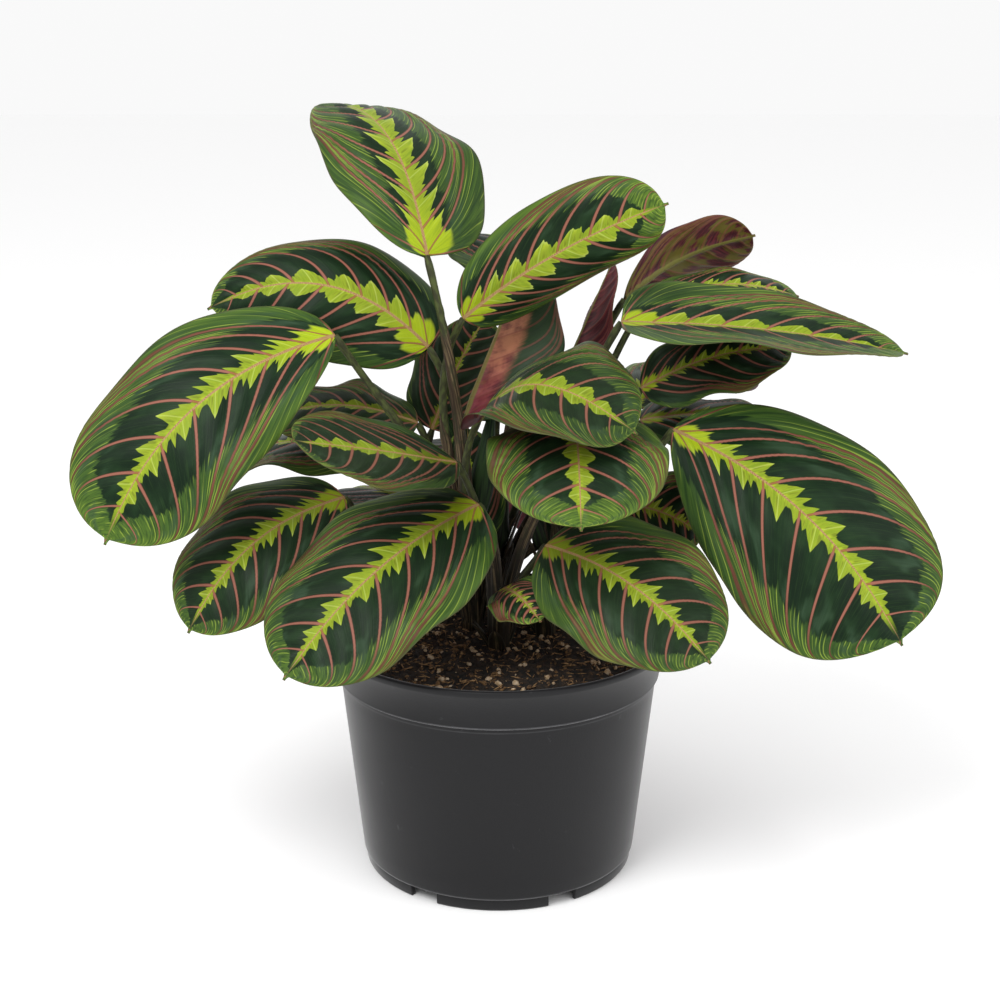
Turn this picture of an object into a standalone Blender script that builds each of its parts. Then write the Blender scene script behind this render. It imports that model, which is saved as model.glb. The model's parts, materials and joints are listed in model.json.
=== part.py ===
"""A prayer plant (Maranta) in a round plastic nursery pot, in metres, +Z up.

Sizes and places below are in millimetres, and MM turns them into metres. They are measured
from the pot's axis, at the level that the pot stands on. The model's own origin is at that
level too, in the middle of the whole plant, and POT_AXIS says where the axis stands in it.
Angles are in degrees. A bearing is 0 towards the front, -Y, and grows towards +X.
"""
import math

import bmesh
import bpy
import numpy as np
from mathutils import Matrix, Vector

MM = 0.001
POT_AXIS = (-3.5, -19)    # the pot's axis, seen from the middle of the plant
GAP = 0.3                 # clearance between two pieces that touch
ROUND_STEPS = 48          # facets around the pot and the soil

# The pot: a tapered wall with a flared band at the rim and a notched foot ring.
POT_HEIGHT = 94.0
RIM_RADIUS = 67.4
LIP_WIDTH = 2.3
LIP_ROUNDING = 0.8
BAND_HEIGHT = 16.7
BAND_FOOT_RADIUS = 62.0
BAND_STEP = 0.8           # how far the band stands out over the wall
WALL = 1.2
WALL_FOOT_RADIUS = 53.5
FOOT_RADIUS = 52.6
FOOT_HEIGHT = 5.0
FOOT_WIDTH = 2.4
FLOOR_UNDERSIDE = 5.4
FLOOR_TOP = FLOOR_UNDERSIDE + WALL
NOTCHES = 6
NOTCH_ANGLE = 12.7
FIRST_NOTCH = 27.4        # bearing of the first notch
DRAIN_RADIUS = 4.5
DRAIN_RING = 40.0
FIRST_DRAIN = -2.6        # bearing of the first drain hole

# The soil: it fills the pot nearly to the lip and rises a little in the middle.
SOIL_EDGE = 90.0
SOIL_RISE = 2.4
SOIL_RINGS = 4

# The shoots: short stems in the soil, which carry the leaf stalks.
STEM_RADIUS = 4.2
STEM_FOOT = 84.0
STEM_TOP = 100.0
STEM_SIDES = 12
STEM_HOLE_GAP = 0.5
STALK_FOOT = 92.0
STALK_SPREAD = 1.6        # from the stem's axis to a stalk's foot
STALK_FOOT_RADIUS = 2.6
STALK_TIP_RADIUS = 1.2
STALK_RISE = 0.45         # share of the stalk's reach over which it goes straight up
STALK_CURL = 0.3          # share of the reach over which it leans into its blade
STALK_LEAN = 0.6
STALK_POINTS = 8
STALK_GAP = 1.5           # from the stalk's tip to the blade's base

# The blades.
BLADE_THICKNESS = 0.8
BLADE_LENGTHWISE = 12
BLADE_ACROSS = 4
WAVE = 2.0
WAVES = 2.2
WAVE_SHIFT = 0.37         # the right margin's waves against the left margin's

# Where each shoot stands in the soil.
SHOOTS = {
    "shoot_front": (0, -16),
    "shoot_middle": (-10, 4),
    "shoot_left": (-28, 18),
    "shoot_right": (18, -2),
    "shoot_back_right": (24, 18),
    "shoot_back": (-4, 32),
}


def blade(shoot, base, tip, width, face, bow=0, sweep=0, cup=(-15, -15), **more):
    """One leaf: its blade runs from base to tip, and face is the (bearing, elevation) that
    its upper side looks at. bow lifts the middle of the midrib and sweep moves it to the
    right; cup is how far the left and right halves turn up, in degrees at the margin."""
    row = dict(fold=(0, 0), twist=0, skew=0.9, sides=(1, 1), fullness=2.3, wave=WAVE, phase=0)
    row.update(shoot=shoot, base=base, tip=tip, width=width, face=face)
    row.update(bow=bow, sweep=sweep, cup=cup)
    row.update(more)
    if not isinstance(row["skew"], tuple):
        row["skew"] = (row["skew"], row["skew"])
    return row


LEAVES = {
    # the high leaves
    "leaf_01": blade("shoot_middle", (-26, -2, 238), (-66, 72, 287), 66, (38, 50), 18, -1, (-55, 0),
                     skew=(1.0, 0.7), sides=(0.84, 1.0), fullness=1.6),
    "leaf_02": blade("shoot_middle", (-13, -2, 215), (60, -18, 259), 40, (5, 10), 3, -4, (-15, -80),
                     skew=1.05, fullness=2.8),
    "leaf_03": blade("shoot_middle", (-26, 4, 203), (-108, 6, 217), 54, (0, 30), 12, 13, (-40, -50),
                     skew=(0.8, 0.7), sides=(1, 0.95), fullness=1.4),
    "leaf_04": blade("shoot_middle", (-59, -14, 211), (-139, -50, 143), 62, (-10, 25), 12, 11,
                     (-10, -20), skew=(1.3, 1.1), fullness=3.2),
    "leaf_14": blade("shoot_back_right", (45, -4, 214), (150, -8, 203), 54, (0, 66), 4, 0, (10, 0),
                     fold=(0, 22), skew=(0.6, 0.75), sides=(0.92, 1.2), fullness=1.7, wave=1.2),
    "leaf_15": blade("shoot_back_right", (56, 26, 216), (115, 28, 218), 34, (0, 70), 7, 0,
                     (-20, -20), wave=1.0),
    "leaf_16": blade("shoot_back_right", (49, 40, 215), (100, 46, 239), 36, (170, 30), 8, 0, (40, 40),
                     skew=1.4, sides=(1, 0.72)),
    # the leaves of the middle, three of them young and half rolled
    "leaf_07": blade("shoot_front", (-15, -24, 166), (-70, -66, 185), 44, (0, 64), 1, 0, (0, 10),
                     skew=(1.25, 1.1), sides=(1.12, 0.9), wave=0.8, phase=0.4),
    "leaf_08": blade("shoot_left", (-31, 16, 171), (-89, 20, 172), 38, (0, 65), 8, 0, (-20, -20)),
    "leaf_09": blade("shoot_middle", (-7, -14, 180), (48, -54, 184), 62, (0, 58), 19, 0, (-20, 30),
                     skew=1.2),
    "leaf_10": blade("shoot_front", (27, -20, 182), (28, -76, 156), 64, (0, 55), 12, 0, (-15, -15),
                     skew=1.0, fullness=2.8),
    "leaf_13": blade("shoot_right", (54, 12, 173), (129, 22, 151), 50, (0, 75), 12, 0, (-25, -25)),
    "leaf_17": blade("shoot_back_right", (20, 32, 172), (45, 35, 231), 32, (100, 10), 0, 0, (40, 40)),
    "leaf_18": blade("shoot_middle", (-12, 6, 176), (11, 24, 232), 54, (100, 0), 0, 0, (50, 60),
                     fold=(30, 40)),
    "leaf_19": blade("shoot_back_right", (54, 10, 186), (111, 10, 202), 40, (0, 62), 6, 0,
                     (-10, -10)),
    "leaf_20": blade("shoot_back", (-26, 30, 165), (-5, 50, 206), 38, (-20, 40), 4, 0, (-10, -10)),
    "leaf_33": blade("shoot_back", (-8, 21, 122), (-12, 23, 168), 26, (-10, 14), 3, 0, (-15, -15)),
    # the low leaves of the front, which hang over the rim
    "leaf_05": blade("shoot_left", (-57, -14, 150), (-112, -45, 108), 54, (-25, 35), 12, 3,
                     (-20, -20)),
    "leaf_06": blade("shoot_front", (-7, -30, 152), (-74, -78, 103), 62, (-20, 40), 10, 2,
                     (-15, -20), fullness=3.0),
    "leaf_11": blade("shoot_front", (17, -35, 138), (73, -78, 109), 58, (15, 40), 8, -3,
                     (-10, -20)),
    "leaf_12": blade("shoot_right", (64, -14, 176), (145, -50, 105), 72, (10, 30), 8, -8,
                     (-10, -30), skew=(1.25, 1.3), sides=(1.02, 1.12), fullness=3.6),
    "leaf_21": blade("shoot_right", (43, 2, 143), (78, -4, 132), 40, (0, 50), 6, 0, (-10, -10)),
    "leaf_22": blade("shoot_front", (2, -36, 122), (15, -58, 117), 24, (0, 50), 4, 0, (-10, -10)),
    # the leaves of the back and the sides
    "leaf_23": blade("shoot_back", (-34, 60, 190), (-88, 108, 202), 56, (-140, 65), 14),
    "leaf_24": blade("shoot_back", (-14, 50, 154), (-30, 116, 106), 58, (-165, 35), 14),
    "leaf_25": blade("shoot_back_right", (50, 46, 170), (102, 100, 164), 58, (140, 60), 14),
    "leaf_26": blade("shoot_back", (-26, 36, 128), (-84, 90, 112), 52, (-140, 60), 12),
    "leaf_27": blade("shoot_back", (36, 40, 130), (96, 78, 106), 52, (125, 60), 12),
    "leaf_28": blade("shoot_back", (8, 52, 214), (-8, 122, 222), 50, (175, 70), 14),
    "leaf_29": blade("shoot_left", (-38, 20, 152), (-114, 40, 146), 50, (-90, 70), 12),
    "leaf_30": blade("shoot_right", (48, 20, 136), (118, 38, 120), 52, (90, 65), 12),
    "leaf_31": blade("shoot_back", (12, 50, 146), (22, 112, 92), 54, (170, 35), 14),
    "leaf_32": blade("shoot_back", (0, 44, 176), (8, 118, 166), 54, (176, 60), 14),
}

POT_GREY = (0.062, 0.062, 0.066)
SOIL_BROWN = (0.020, 0.013, 0.008)
STALK_GREEN = (0.130, 0.150, 0.040)
LEAF_GREEN = (0.045, 0.160, 0.030)


# --- scene and objects ---------------------------------------------------------------

def clear_scene():
    for old in list(bpy.data.objects):
        bpy.data.objects.remove(old, do_unlink=True)


def new_collection(name):
    made = bpy.data.collections.new(name)
    bpy.context.scene.collection.children.link(made)
    return made


def new_material(name, colour, roughness):
    made = bpy.data.materials.new(name)
    made.use_nodes = True
    shader = made.node_tree.nodes["Principled BSDF"]
    shader.inputs["Base Color"].default_value = (*colour, 1)
    shader.inputs["Roughness"].default_value = roughness
    shader.inputs["Metallic"].default_value = 0
    return made


def new_object(name, mesh, collection, colour=None, roughness=0.5):
    made = bpy.data.objects.new(name, mesh)
    collection.objects.link(made)
    if colour:
        made.data.materials.append(new_material(name + "_material", colour, roughness))
    return made


def mesh_from(build, name):
    """A mesh that the function build fills through bmesh."""
    work = bmesh.new()
    build(work)
    mesh = bpy.data.meshes.new(name)
    work.to_mesh(mesh)
    work.free()
    return mesh


def evaluated_mesh(thing):
    depsgraph = bpy.context.evaluated_depsgraph_get()
    return bpy.data.meshes.new_from_object(thing.evaluated_get(depsgraph))


def bearing_point(radius, bearing, height=0):
    """The point at a radius from the pot's axis, in metres."""
    turn = math.radians(bearing)
    return Vector((radius * math.sin(turn), -radius * math.cos(turn), height)) * MM


# --- turned pieces -------------------------------------------------------------------

def turned(name, profile, collection, colour, roughness):
    """Turn a profile of (radius, height) around the pot's axis with a Screw modifier."""
    mesh = bpy.data.meshes.new(name)
    points = [(radius * MM, 0, height * MM) for radius, height in profile]
    mesh.from_pydata(points, [(i, i + 1) for i in range(len(points) - 1)], [])
    made = new_object(name, mesh, collection, colour, roughness)
    screw = made.modifiers.new("turn", "SCREW")
    screw.steps = ROUND_STEPS
    screw.render_steps = ROUND_STEPS
    screw.use_merge_vertices = True
    screw.merge_threshold = 0.00005
    screw.use_smooth_shade = True
    return made


def inner_wall():
    """The pot's inner side from the floor up to just under the lip."""
    taper = (BAND_FOOT_RADIUS - BAND_STEP - WALL_FOOT_RADIUS) / (POT_HEIGHT - BAND_HEIGHT - FOOT_HEIGHT)
    floor_radius = WALL_FOOT_RADIUS + taper * (FLOOR_TOP - FOOT_HEIGHT) - WALL
    band_foot = POT_HEIGHT - BAND_HEIGHT
    return [
        (floor_radius, FLOOR_TOP),
        (BAND_FOOT_RADIUS - BAND_STEP - WALL, band_foot),
        (BAND_FOOT_RADIUS - WALL, band_foot + 2 * WALL),
        (RIM_RADIUS - LIP_WIDTH, POT_HEIGHT - LIP_ROUNDING),
    ]


def pot_profile():
    band_foot = POT_HEIGHT - BAND_HEIGHT
    lip = [
        (RIM_RADIUS - LIP_WIDTH + LIP_ROUNDING, POT_HEIGHT),
        (RIM_RADIUS - LIP_ROUNDING, POT_HEIGHT),
        (RIM_RADIUS, POT_HEIGHT - LIP_ROUNDING),
    ]
    outside = [
        (BAND_FOOT_RADIUS, band_foot + BAND_STEP / 2),
        (BAND_FOOT_RADIUS - BAND_STEP / 2, band_foot),
        (BAND_FOOT_RADIUS - BAND_STEP, band_foot),
        (WALL_FOOT_RADIUS, FOOT_HEIGHT),
        (FOOT_RADIUS, FOOT_HEIGHT),
        (FOOT_RADIUS - GAP, 0),
    ]
    underside = [
        (FOOT_RADIUS - FOOT_WIDTH, 0),
        (FOOT_RADIUS - FOOT_WIDTH, FLOOR_UNDERSIDE),
        (0, FLOOR_UNDERSIDE),
    ]
    return [(0, FLOOR_TOP)] + inner_wall() + lip + outside + underside


def soil_profile():
    """The soil keeps its gap to the wall and to the floor, and its top is a low mound."""
    wall = inner_wall()
    low, high = wall[-2], wall[-1]
    share = (SOIL_EDGE - low[1]) / (high[1] - low[1])
    edge = low[0] + share * (high[0] - low[0]) - GAP
    top = []
    for ring in range(SOIL_RINGS):
        radius = edge * ring / SOIL_RINGS
        top.append((radius, SOIL_EDGE + SOIL_RISE * (1 - (radius / edge) ** 2)))
    sides = [(radius - GAP, height) for radius, height in reversed(wall[:-1])]
    sides[-1] = (sides[-1][0], FLOOR_TOP + GAP)
    return top + [(edge, SOIL_EDGE)] + sides + [(0, FLOOR_TOP + GAP)]


def cylinder(name, radius, low, high, centre, collection, sides=24):
    """An upright cylinder whose ends are at the heights low and high."""
    def build(work):
        place = Matrix.Translation(Vector(centre) + Vector((0, 0, (low + high) / 2 * MM)))
        bmesh.ops.create_cone(work, cap_ends=True, segments=sides, radius1=radius * MM,
                              radius2=radius * MM, depth=(high - low) * MM, matrix=place)
    return new_object(name, mesh_from(build, name), collection)


def notch_cutter(bearing, collection):
    """A box that cuts one notch through the foot ring."""
    deep = 3 * FOOT_WIDTH
    wide = 2 * FOOT_RADIUS * math.sin(math.radians(NOTCH_ANGLE / 2))
    high = 2 * FOOT_HEIGHT

    def build(work):
        bmesh.ops.create_cube(work, size=1)
        bmesh.ops.scale(work, vec=Vector((wide, deep, high)) * MM, verts=work.verts)
    made = new_object("notch_cutter", mesh_from(build, "notch_cutter"), collection)
    made.location = bearing_point(FOOT_RADIUS, bearing)
    made.rotation_euler = (0, 0, math.radians(bearing))
    return made


def cut(thing, cutters):
    """Cut every object of a collection out of a piece."""
    for cutter in cutters.objects:
        cutter.hide_render = True
        cutter.display_type = "WIRE"
    boolean = thing.modifiers.new("cut", "BOOLEAN")
    boolean.operation = "DIFFERENCE"
    boolean.operand_type = "COLLECTION"
    boolean.collection = cutters
    boolean.solver = "EXACT"


def make_pot(parts):
    pot = turned("pot", pot_profile(), parts, POT_GREY, 0.5)
    cutters = new_collection("pot cutters")
    for k in range(NOTCHES):
        turn = 360 * k / NOTCHES
        notch_cutter(FIRST_NOTCH + turn, cutters)
        centre = bearing_point(DRAIN_RING, FIRST_DRAIN + turn)
        cylinder("drain_cutter", DRAIN_RADIUS, 0, 2 * FLOOR_TOP, centre, cutters, 16)
    cut(pot, cutters)
    return pot


def make_soil(parts):
    soil = turned("soil", soil_profile(), parts, SOIL_BROWN, 0.9)
    cutters = new_collection("soil cutters")
    for foot in SHOOTS.values():
        centre = Vector((*foot, 0)) * MM
        cylinder("stem_cutter", STEM_RADIUS + STEM_HOLE_GAP, STEM_FOOT - GAP, STEM_TOP, centre, cutters,
                 STEM_SIDES)
    cut(soil, cutters)
    return soil


# --- blades --------------------------------------------------------------------------

def unit(vector):
    length = np.linalg.norm(vector, axis=-1, keepdims=True)
    return vector / np.maximum(length, 1e-9)


def half_outline(along, across, row):
    """Share of the half width at a share of the length. The halves may differ."""
    left = across < 0
    reach = np.clip(along / 0.98, 0, 1)
    turn = 2 * reach ** np.where(left, row["skew"][0], row["skew"][1]) - 1
    power = np.where(turn < 0, 2.2, row["fullness"])
    body = np.sqrt(np.clip(1 - np.abs(turn) ** power, 0, 1))
    point = np.clip((1 - along) / 0.05, 0, 1) * 0.10
    shape = np.where(along > 0.5, np.maximum(body, point), body)
    return shape * np.where(left, row["sides"][0], row["sides"][1])


def blade_points(row, along, across):
    """Places on the blade's middle surface, in millimetres. along goes from 0 at the base to
    1 at the tip, and across from -1 at the left margin to 1 at the right one."""
    base, tip = np.array(row["base"], float), np.array(row["tip"], float)
    bearing, elevation = np.radians(row["face"])
    looks = np.array([np.sin(bearing) * np.cos(elevation),
                      -np.cos(bearing) * np.cos(elevation), np.sin(elevation)])
    chord = unit(tip - base)
    up = unit(looks - (looks @ chord) * chord)
    right = np.cross(chord, up)
    middle = (base + tip) / 2 + 2 * row["bow"] * up + 2 * row["sweep"] * right

    s = along[..., None]
    midrib = (1 - s) ** 2 * base + 2 * s * (1 - s) * middle + s ** 2 * tip
    ahead = unit((1 - s) * (middle - base) + s * (tip - middle))
    normal = unit(up - np.sum(ahead * up, -1, keepdims=True) * ahead)
    side = np.cross(ahead, normal)

    half = row["width"] / 2
    out = np.abs(across) * half * half_outline(along, across, row)
    left = across < 0
    bend = np.radians(np.where(left, row["cup"][0], row["cup"][1])) / half
    bend = np.where(np.abs(bend) < 1e-6, 1e-6, bend)
    fold = np.radians(np.where(left, row["fold"][0], row["fold"][1]))
    flat = (np.sin(fold + bend * out) - np.sin(fold)) / bend
    lift = (np.cos(fold) - np.cos(fold + bend * out)) / bend
    turns = WAVES * along + row["phase"] + WAVE_SHIFT * (across > 0)
    lift = lift + row["wave"] * (out / half) ** 2 * np.sin(2 * np.pi * turns)
    return midrib + (np.sign(across) * flat)[..., None] * side + lift[..., None] * normal


def make_leaf(name, row, parts):
    """A blade: a grid moved onto the leaf's surface and given its thickness."""
    def build(work):
        bmesh.ops.create_grid(work, x_segments=BLADE_LENGTHWISE, y_segments=BLADE_ACROSS, size=0.5)
        cells = np.array([vert.co[:] for vert in work.verts])
        along = (1 - np.cos(np.pi * (cells[:, 0] + 0.5))) / 2
        places = blade_points(row, along, 2 * cells[:, 1]) - np.array(row["base"])
        for vert, place in zip(work.verts, places):
            vert.co = Vector(place) * MM
        bmesh.ops.remove_doubles(work, verts=work.verts, dist=0.00005)
        bmesh.ops.triangulate(work, faces=work.faces)
    made = new_object(name, mesh_from(build, name), parts, LEAF_GREEN, 0.45)
    made.location = Vector(row["base"]) * MM
    made.data.shade_smooth()
    thickness = made.modifiers.new("thickness", "SOLIDIFY")
    thickness.thickness = BLADE_THICKNESS * MM
    thickness.offset = 0
    return made


# --- shoots --------------------------------------------------------------------------

def stalk_route(foot, row):
    """Points of a leaf stalk, from inside its stem to just short of its blade's base."""
    base, tip = np.array(row["base"], float), np.array(row["tip"], float)
    heading = unit(np.array([tip[0] - base[0], tip[1] - base[1], 0]))
    outward = unit(np.array([base[0] - foot[0], base[1] - foot[1], 0]))
    start = np.array([foot[0], foot[1], STALK_FOOT]) + STALK_SPREAD * outward
    arrival = unit(heading * STALK_LEAN + np.array([0, 0, 1]))
    reach = np.linalg.norm(base - start)
    rise = start + np.array([0, 0, reach * STALK_RISE])
    lean = base - arrival * reach * STALK_CURL
    end = base - arrival * STALK_GAP
    t = np.linspace(0, 1, STALK_POINTS)[:, None]
    return (1 - t) ** 3 * start + 3 * t * (1 - t) ** 2 * rise + 3 * t ** 2 * (1 - t) * lean + t ** 3 * end


def stalk(name, foot, row, collection):
    """A tapered tube along the stalk's route, as a closed mesh."""
    curve = bpy.data.curves.new(name, "CURVE")
    curve.dimensions = "3D"
    curve.bevel_depth = STALK_FOOT_RADIUS * MM
    curve.bevel_resolution = 1
    curve.use_fill_caps = True
    spline = curve.splines.new("POLY")
    spline.points.add(STALK_POINTS - 1)
    for i, (point, place) in enumerate(zip(spline.points, stalk_route(foot, row))):
        point.co = (*(Vector(place) * MM), 1)
        point.radius = 1 + (STALK_TIP_RADIUS / STALK_FOOT_RADIUS - 1) * i / (STALK_POINTS - 1)
    tube = bpy.data.objects.new(name, curve)
    collection.objects.link(tube)
    mesh = evaluated_mesh(tube)
    work = bmesh.new()
    work.from_mesh(mesh)
    bmesh.ops.remove_doubles(work, verts=work.verts, dist=0.00001)
    work.to_mesh(mesh)
    work.free()
    made = new_object(name + "_mesh", mesh, collection)
    made.matrix_world = tube.matrix_world.copy()
    bpy.data.objects.remove(tube, do_unlink=True)
    return made


def make_shoot(name, parts):
    """One shoot: its stem and the stalks of its leaves, joined into one body."""
    foot = SHOOTS[name]
    stem = cylinder(name, STEM_RADIUS, STEM_FOOT, STEM_TOP, Vector((*foot, 0)) * MM, parts, STEM_SIDES)
    stalks = new_collection(name + " stalks")
    for leaf_name, row in LEAVES.items():
        if row["shoot"] == name:
            stalk(leaf_name + "_stalk", foot, row, stalks)
    union = stem.modifiers.new("join", "BOOLEAN")
    union.operation = "UNION"
    union.operand_type = "COLLECTION"
    union.collection = stalks
    union.solver = "EXACT"
    stem.data = evaluated_mesh(stem)
    stem.modifiers.clear()
    for used in list(stalks.objects):
        bpy.data.objects.remove(used, do_unlink=True)
    bpy.data.collections.remove(stalks)
    stem.data.materials.clear()
    stem.data.materials.append(new_material(name + "_material", STALK_GREEN, 0.55))
    stem.data.shade_smooth()
    stem.data.set_sharp_from_angle(angle=math.radians(50))
    return stem


def main():
    clear_scene()
    parts = new_collection("potted prayer plant")
    make_pot(parts)
    make_soil(parts)
    for name in SHOOTS:
        make_shoot(name, parts)
    for name, row in LEAVES.items():
        make_leaf(name, row, parts)
    things = list(bpy.data.objects)
    axis = bpy.data.objects.new("pot_axis", None)
    parts.objects.link(axis)
    axis.location = Vector((*POT_AXIS, 0)) * MM
    for thing in things:
        thing.parent = axis


main()
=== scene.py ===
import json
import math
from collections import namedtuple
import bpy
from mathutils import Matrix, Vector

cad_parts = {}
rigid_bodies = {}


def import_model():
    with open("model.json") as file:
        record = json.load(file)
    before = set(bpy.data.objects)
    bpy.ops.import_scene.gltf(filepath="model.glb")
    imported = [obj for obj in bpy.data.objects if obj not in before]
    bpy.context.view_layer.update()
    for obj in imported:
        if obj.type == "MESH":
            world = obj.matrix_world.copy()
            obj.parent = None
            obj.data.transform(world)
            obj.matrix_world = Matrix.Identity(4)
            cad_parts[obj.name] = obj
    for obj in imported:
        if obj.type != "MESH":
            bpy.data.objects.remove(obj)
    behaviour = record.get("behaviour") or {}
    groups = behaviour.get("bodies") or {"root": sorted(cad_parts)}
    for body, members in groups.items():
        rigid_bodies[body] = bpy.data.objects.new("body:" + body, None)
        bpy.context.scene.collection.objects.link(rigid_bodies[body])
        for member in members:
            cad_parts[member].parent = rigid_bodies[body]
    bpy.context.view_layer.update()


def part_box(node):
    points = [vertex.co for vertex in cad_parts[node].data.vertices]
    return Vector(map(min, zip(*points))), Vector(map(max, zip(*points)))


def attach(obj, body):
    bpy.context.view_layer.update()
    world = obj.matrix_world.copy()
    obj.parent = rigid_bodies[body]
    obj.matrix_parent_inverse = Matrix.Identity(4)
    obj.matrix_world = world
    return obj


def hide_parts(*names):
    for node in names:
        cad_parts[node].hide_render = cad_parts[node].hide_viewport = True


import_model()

# The looks of a potted prayer plant. Lengths are in millimetres, measured from the pot's axis
# at the level that the pot stands on, and MM turns them into metres. Angles are in degrees. A
# bearing is 0 towards the front, -Y, and grows towards +X.
from types import SimpleNamespace

import bmesh
import bpy
import numpy as np
from mathutils import Matrix, Vector

MM = 0.001
POT_LOW, POT_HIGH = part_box("pot")
POT_AXIS = (POT_LOW + POT_HIGH) / 2
POT_AXIS.z = POT_LOW.z
SOIL_LOW, SOIL_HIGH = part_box("soil")

# The camera stands in front of the pot and is tilted down at a point near its axis.
LENS = 65.0
SENSOR = 36.0
CAMERA_DISTANCE = 685.0
CAMERA_TILT = 16.15
CAMERA_HEIGHT = 145.0     # of the point that it looks at
CAMERA_ASIDE = 0.6        # that point is this far to the right of the pot's axis

# The studio.
FLOOR_REACH = 4000.0
WORLD_LIGHT = 0.95
LIGHT_TARGET = 150.0      # height of the point that the lamps are turned to

# The pot, as in the solids, with rounded edges.
POT_STEPS = 180
POT_HEIGHT = 94.0
RIM_RADIUS = 67.4
LIP_WIDTH = 2.3
LIP_ROUNDING = 0.8
BAND_HEIGHT = 16.7
BAND_FOOT = POT_HEIGHT - BAND_HEIGHT
BAND_FOOT_RADIUS = 62.0
BAND_STEP = 0.8
WALL = 1.2
WALL_TOP_RADIUS = BAND_FOOT_RADIUS - BAND_STEP
WALL_FOOT_RADIUS = 53.5
FOOT_RADIUS = 52.6
FOOT_HEIGHT = 5.0
FOOT_WIDTH = 2.4
FLOOR_UNDERSIDE = 5.4
FLOOR_TOP = FLOOR_UNDERSIDE + WALL
NOTCHES = 6
NOTCH_ANGLE = 12.7
FIRST_NOTCH = 27.4
DRAIN_RADIUS = 4.5
DRAIN_RING = 40.0
FIRST_DRAIN = -2.6
SHARP_EDGE = 40.0         # edges that turn more than this stay sharp

# The soil: a low mound, with waves of a few lengths and heights.
SOIL_RADIUS = (SOIL_HIGH.x - SOIL_LOW.x) / 2 / MM
SOIL_FLOOR = (SOIL_LOW.z - POT_AXIS.z) / MM
SOIL_EDGE = 90.0
SOIL_RISE = 2.4
SOIL_RINGS = 90
SOIL_STEPS = 300
SOIL_WAVES = ((9.0, 0.8), (4.0, 0.6), (2.0, 0.4))
WAVES_OF_A_LENGTH = 6
CRUMB = 0.22

# The shoots, as in the solids, with sheaths, old sheaths and rolled young leaves.
STALK_FOOT = 92.0
STALK_SPREAD = 1.6
STALK_FOOT_RADIUS = 2.21
STALK_TIP_RADIUS = 1.2
STALK_RISE = 0.45
STALK_CURL = 0.3
STALK_LEAN = 0.6
JOINT_SWELL = 0.2         # of a stalk under its blade
STEM_FOOT = 84.0
STEM_TOP = 101.0
STEM_RADII = (4.2, 4.2, 4.2, 4.15, 4.05, 3.9, 3.4, 1.5)
SHEATH_ENDS = (0.9, 0.66, 0.8, 0.55, 0.86, 0.72)      # share of a stalk that its sheath covers
SHEATH_THICK = 0.55
YOUNG_LEAVES = {          # where their tips are and how thick they are
    "shoot_middle": (((-2, 14, 178), 4.2),),
    "shoot_back_right": (((11, 24, 140), 4.6), ((20, 26, 134), 3.6)),
    "shoot_back": (((3, 30, 137), 4.6), ((-23, 26, 176), 3.2)),
}
HUSKS = {                 # old sheaths: how many, their heights and their lean
    "shoot_left": (5, (14, 34), 14),
    "shoot_front": (5, (12, 26), 12),
    "shoot_middle": (8, (20, 52), 12),
    "shoot_right": (5, (14, 34), 14),
    "shoot_back_right": (8, (24, 50), 14),
    "shoot_back": (14, (26, 52), 20),
}
HUSK_FOOT = 88.0
SHEATH_MARK = 10          # added to the turn in the stalks' map: tells sheaths from stalks
ROLLED_MARK = 20          # and young leaves from both
LENGTH_SHIFT = 300.0      # between two stalks in that map
LENGTH_SPAN = 9000.0      # over which the other pieces lie there

# The blades, as in the solids, with finer cells, veins and relief.
WAVE = 2.0
WAVES = 2.2
WAVE_SHIFT = 0.37
CELLS_LONG = 90
CELLS_WIDE = 44
BLADE_THICK = 0.55
MARGIN_THICK = 0.22
VEINS = 8.0               # veins that leave the midrib on each side
FAN_VEINS = 1.2           # and veins that fan out from the base
VEIN_SLANT = 0.26         # how fast a vein runs towards the tip as it leaves the midrib
VEIN_TIP_SLANT = 0.60     # and how much faster near the tip
VEIN_TURN = 3.6           # how late it turns to run beside the margin
VEIN_TIP_TURN = 2.0       # and how much sooner near the tip
VEIN_END = 0.74           # share of the way to the tip at which it meets the margin
VEIN_ROUNDS = 4           # of the search for the vein at a place
VEIN_CROWDING = 0.22      # how much closer they stand at the base and the tip
VEIN_STAGGER = 0.16       # the right side's veins against the left side's
VEIN_START = 100.0        # added to a material's vein count, keeps it above 0
PLEAT = 0.015             # share of its width that a blade puffs up between two veins
PLEAT_SHAPE = 0.8
GROOVE_DEPTH = 0.45       # of the sunken midrib
GROOVE_WIDTH = 1.6
RIB_HEIGHT = 1.1          # of the midrib below, at the base
RIB_WIDTH = 1.5
RIB_TAPER = 0.8
MIDRIB_CROWDING = 1.35    # cells are smaller beside the midrib
END_HALF_WIDTH = 0.5      # of the blade where it meets its stalk and at its very tip
BODY_END = 0.98           # share of the length at which the rounded body closes
BASE_FULLNESS = 2.2
POINT_LENGTH = 0.05       # of the little point at the tip
POINT_WIDTH = 0.10

# Where each shoot stands in the soil.
SHOOTS = {
    "shoot_front": (0, -16),
    "shoot_middle": (-10, 4),
    "shoot_left": (-28, 18),
    "shoot_right": (18, -2),
    "shoot_back_right": (24, 18),
    "shoot_back": (-4, 32),
}


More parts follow.
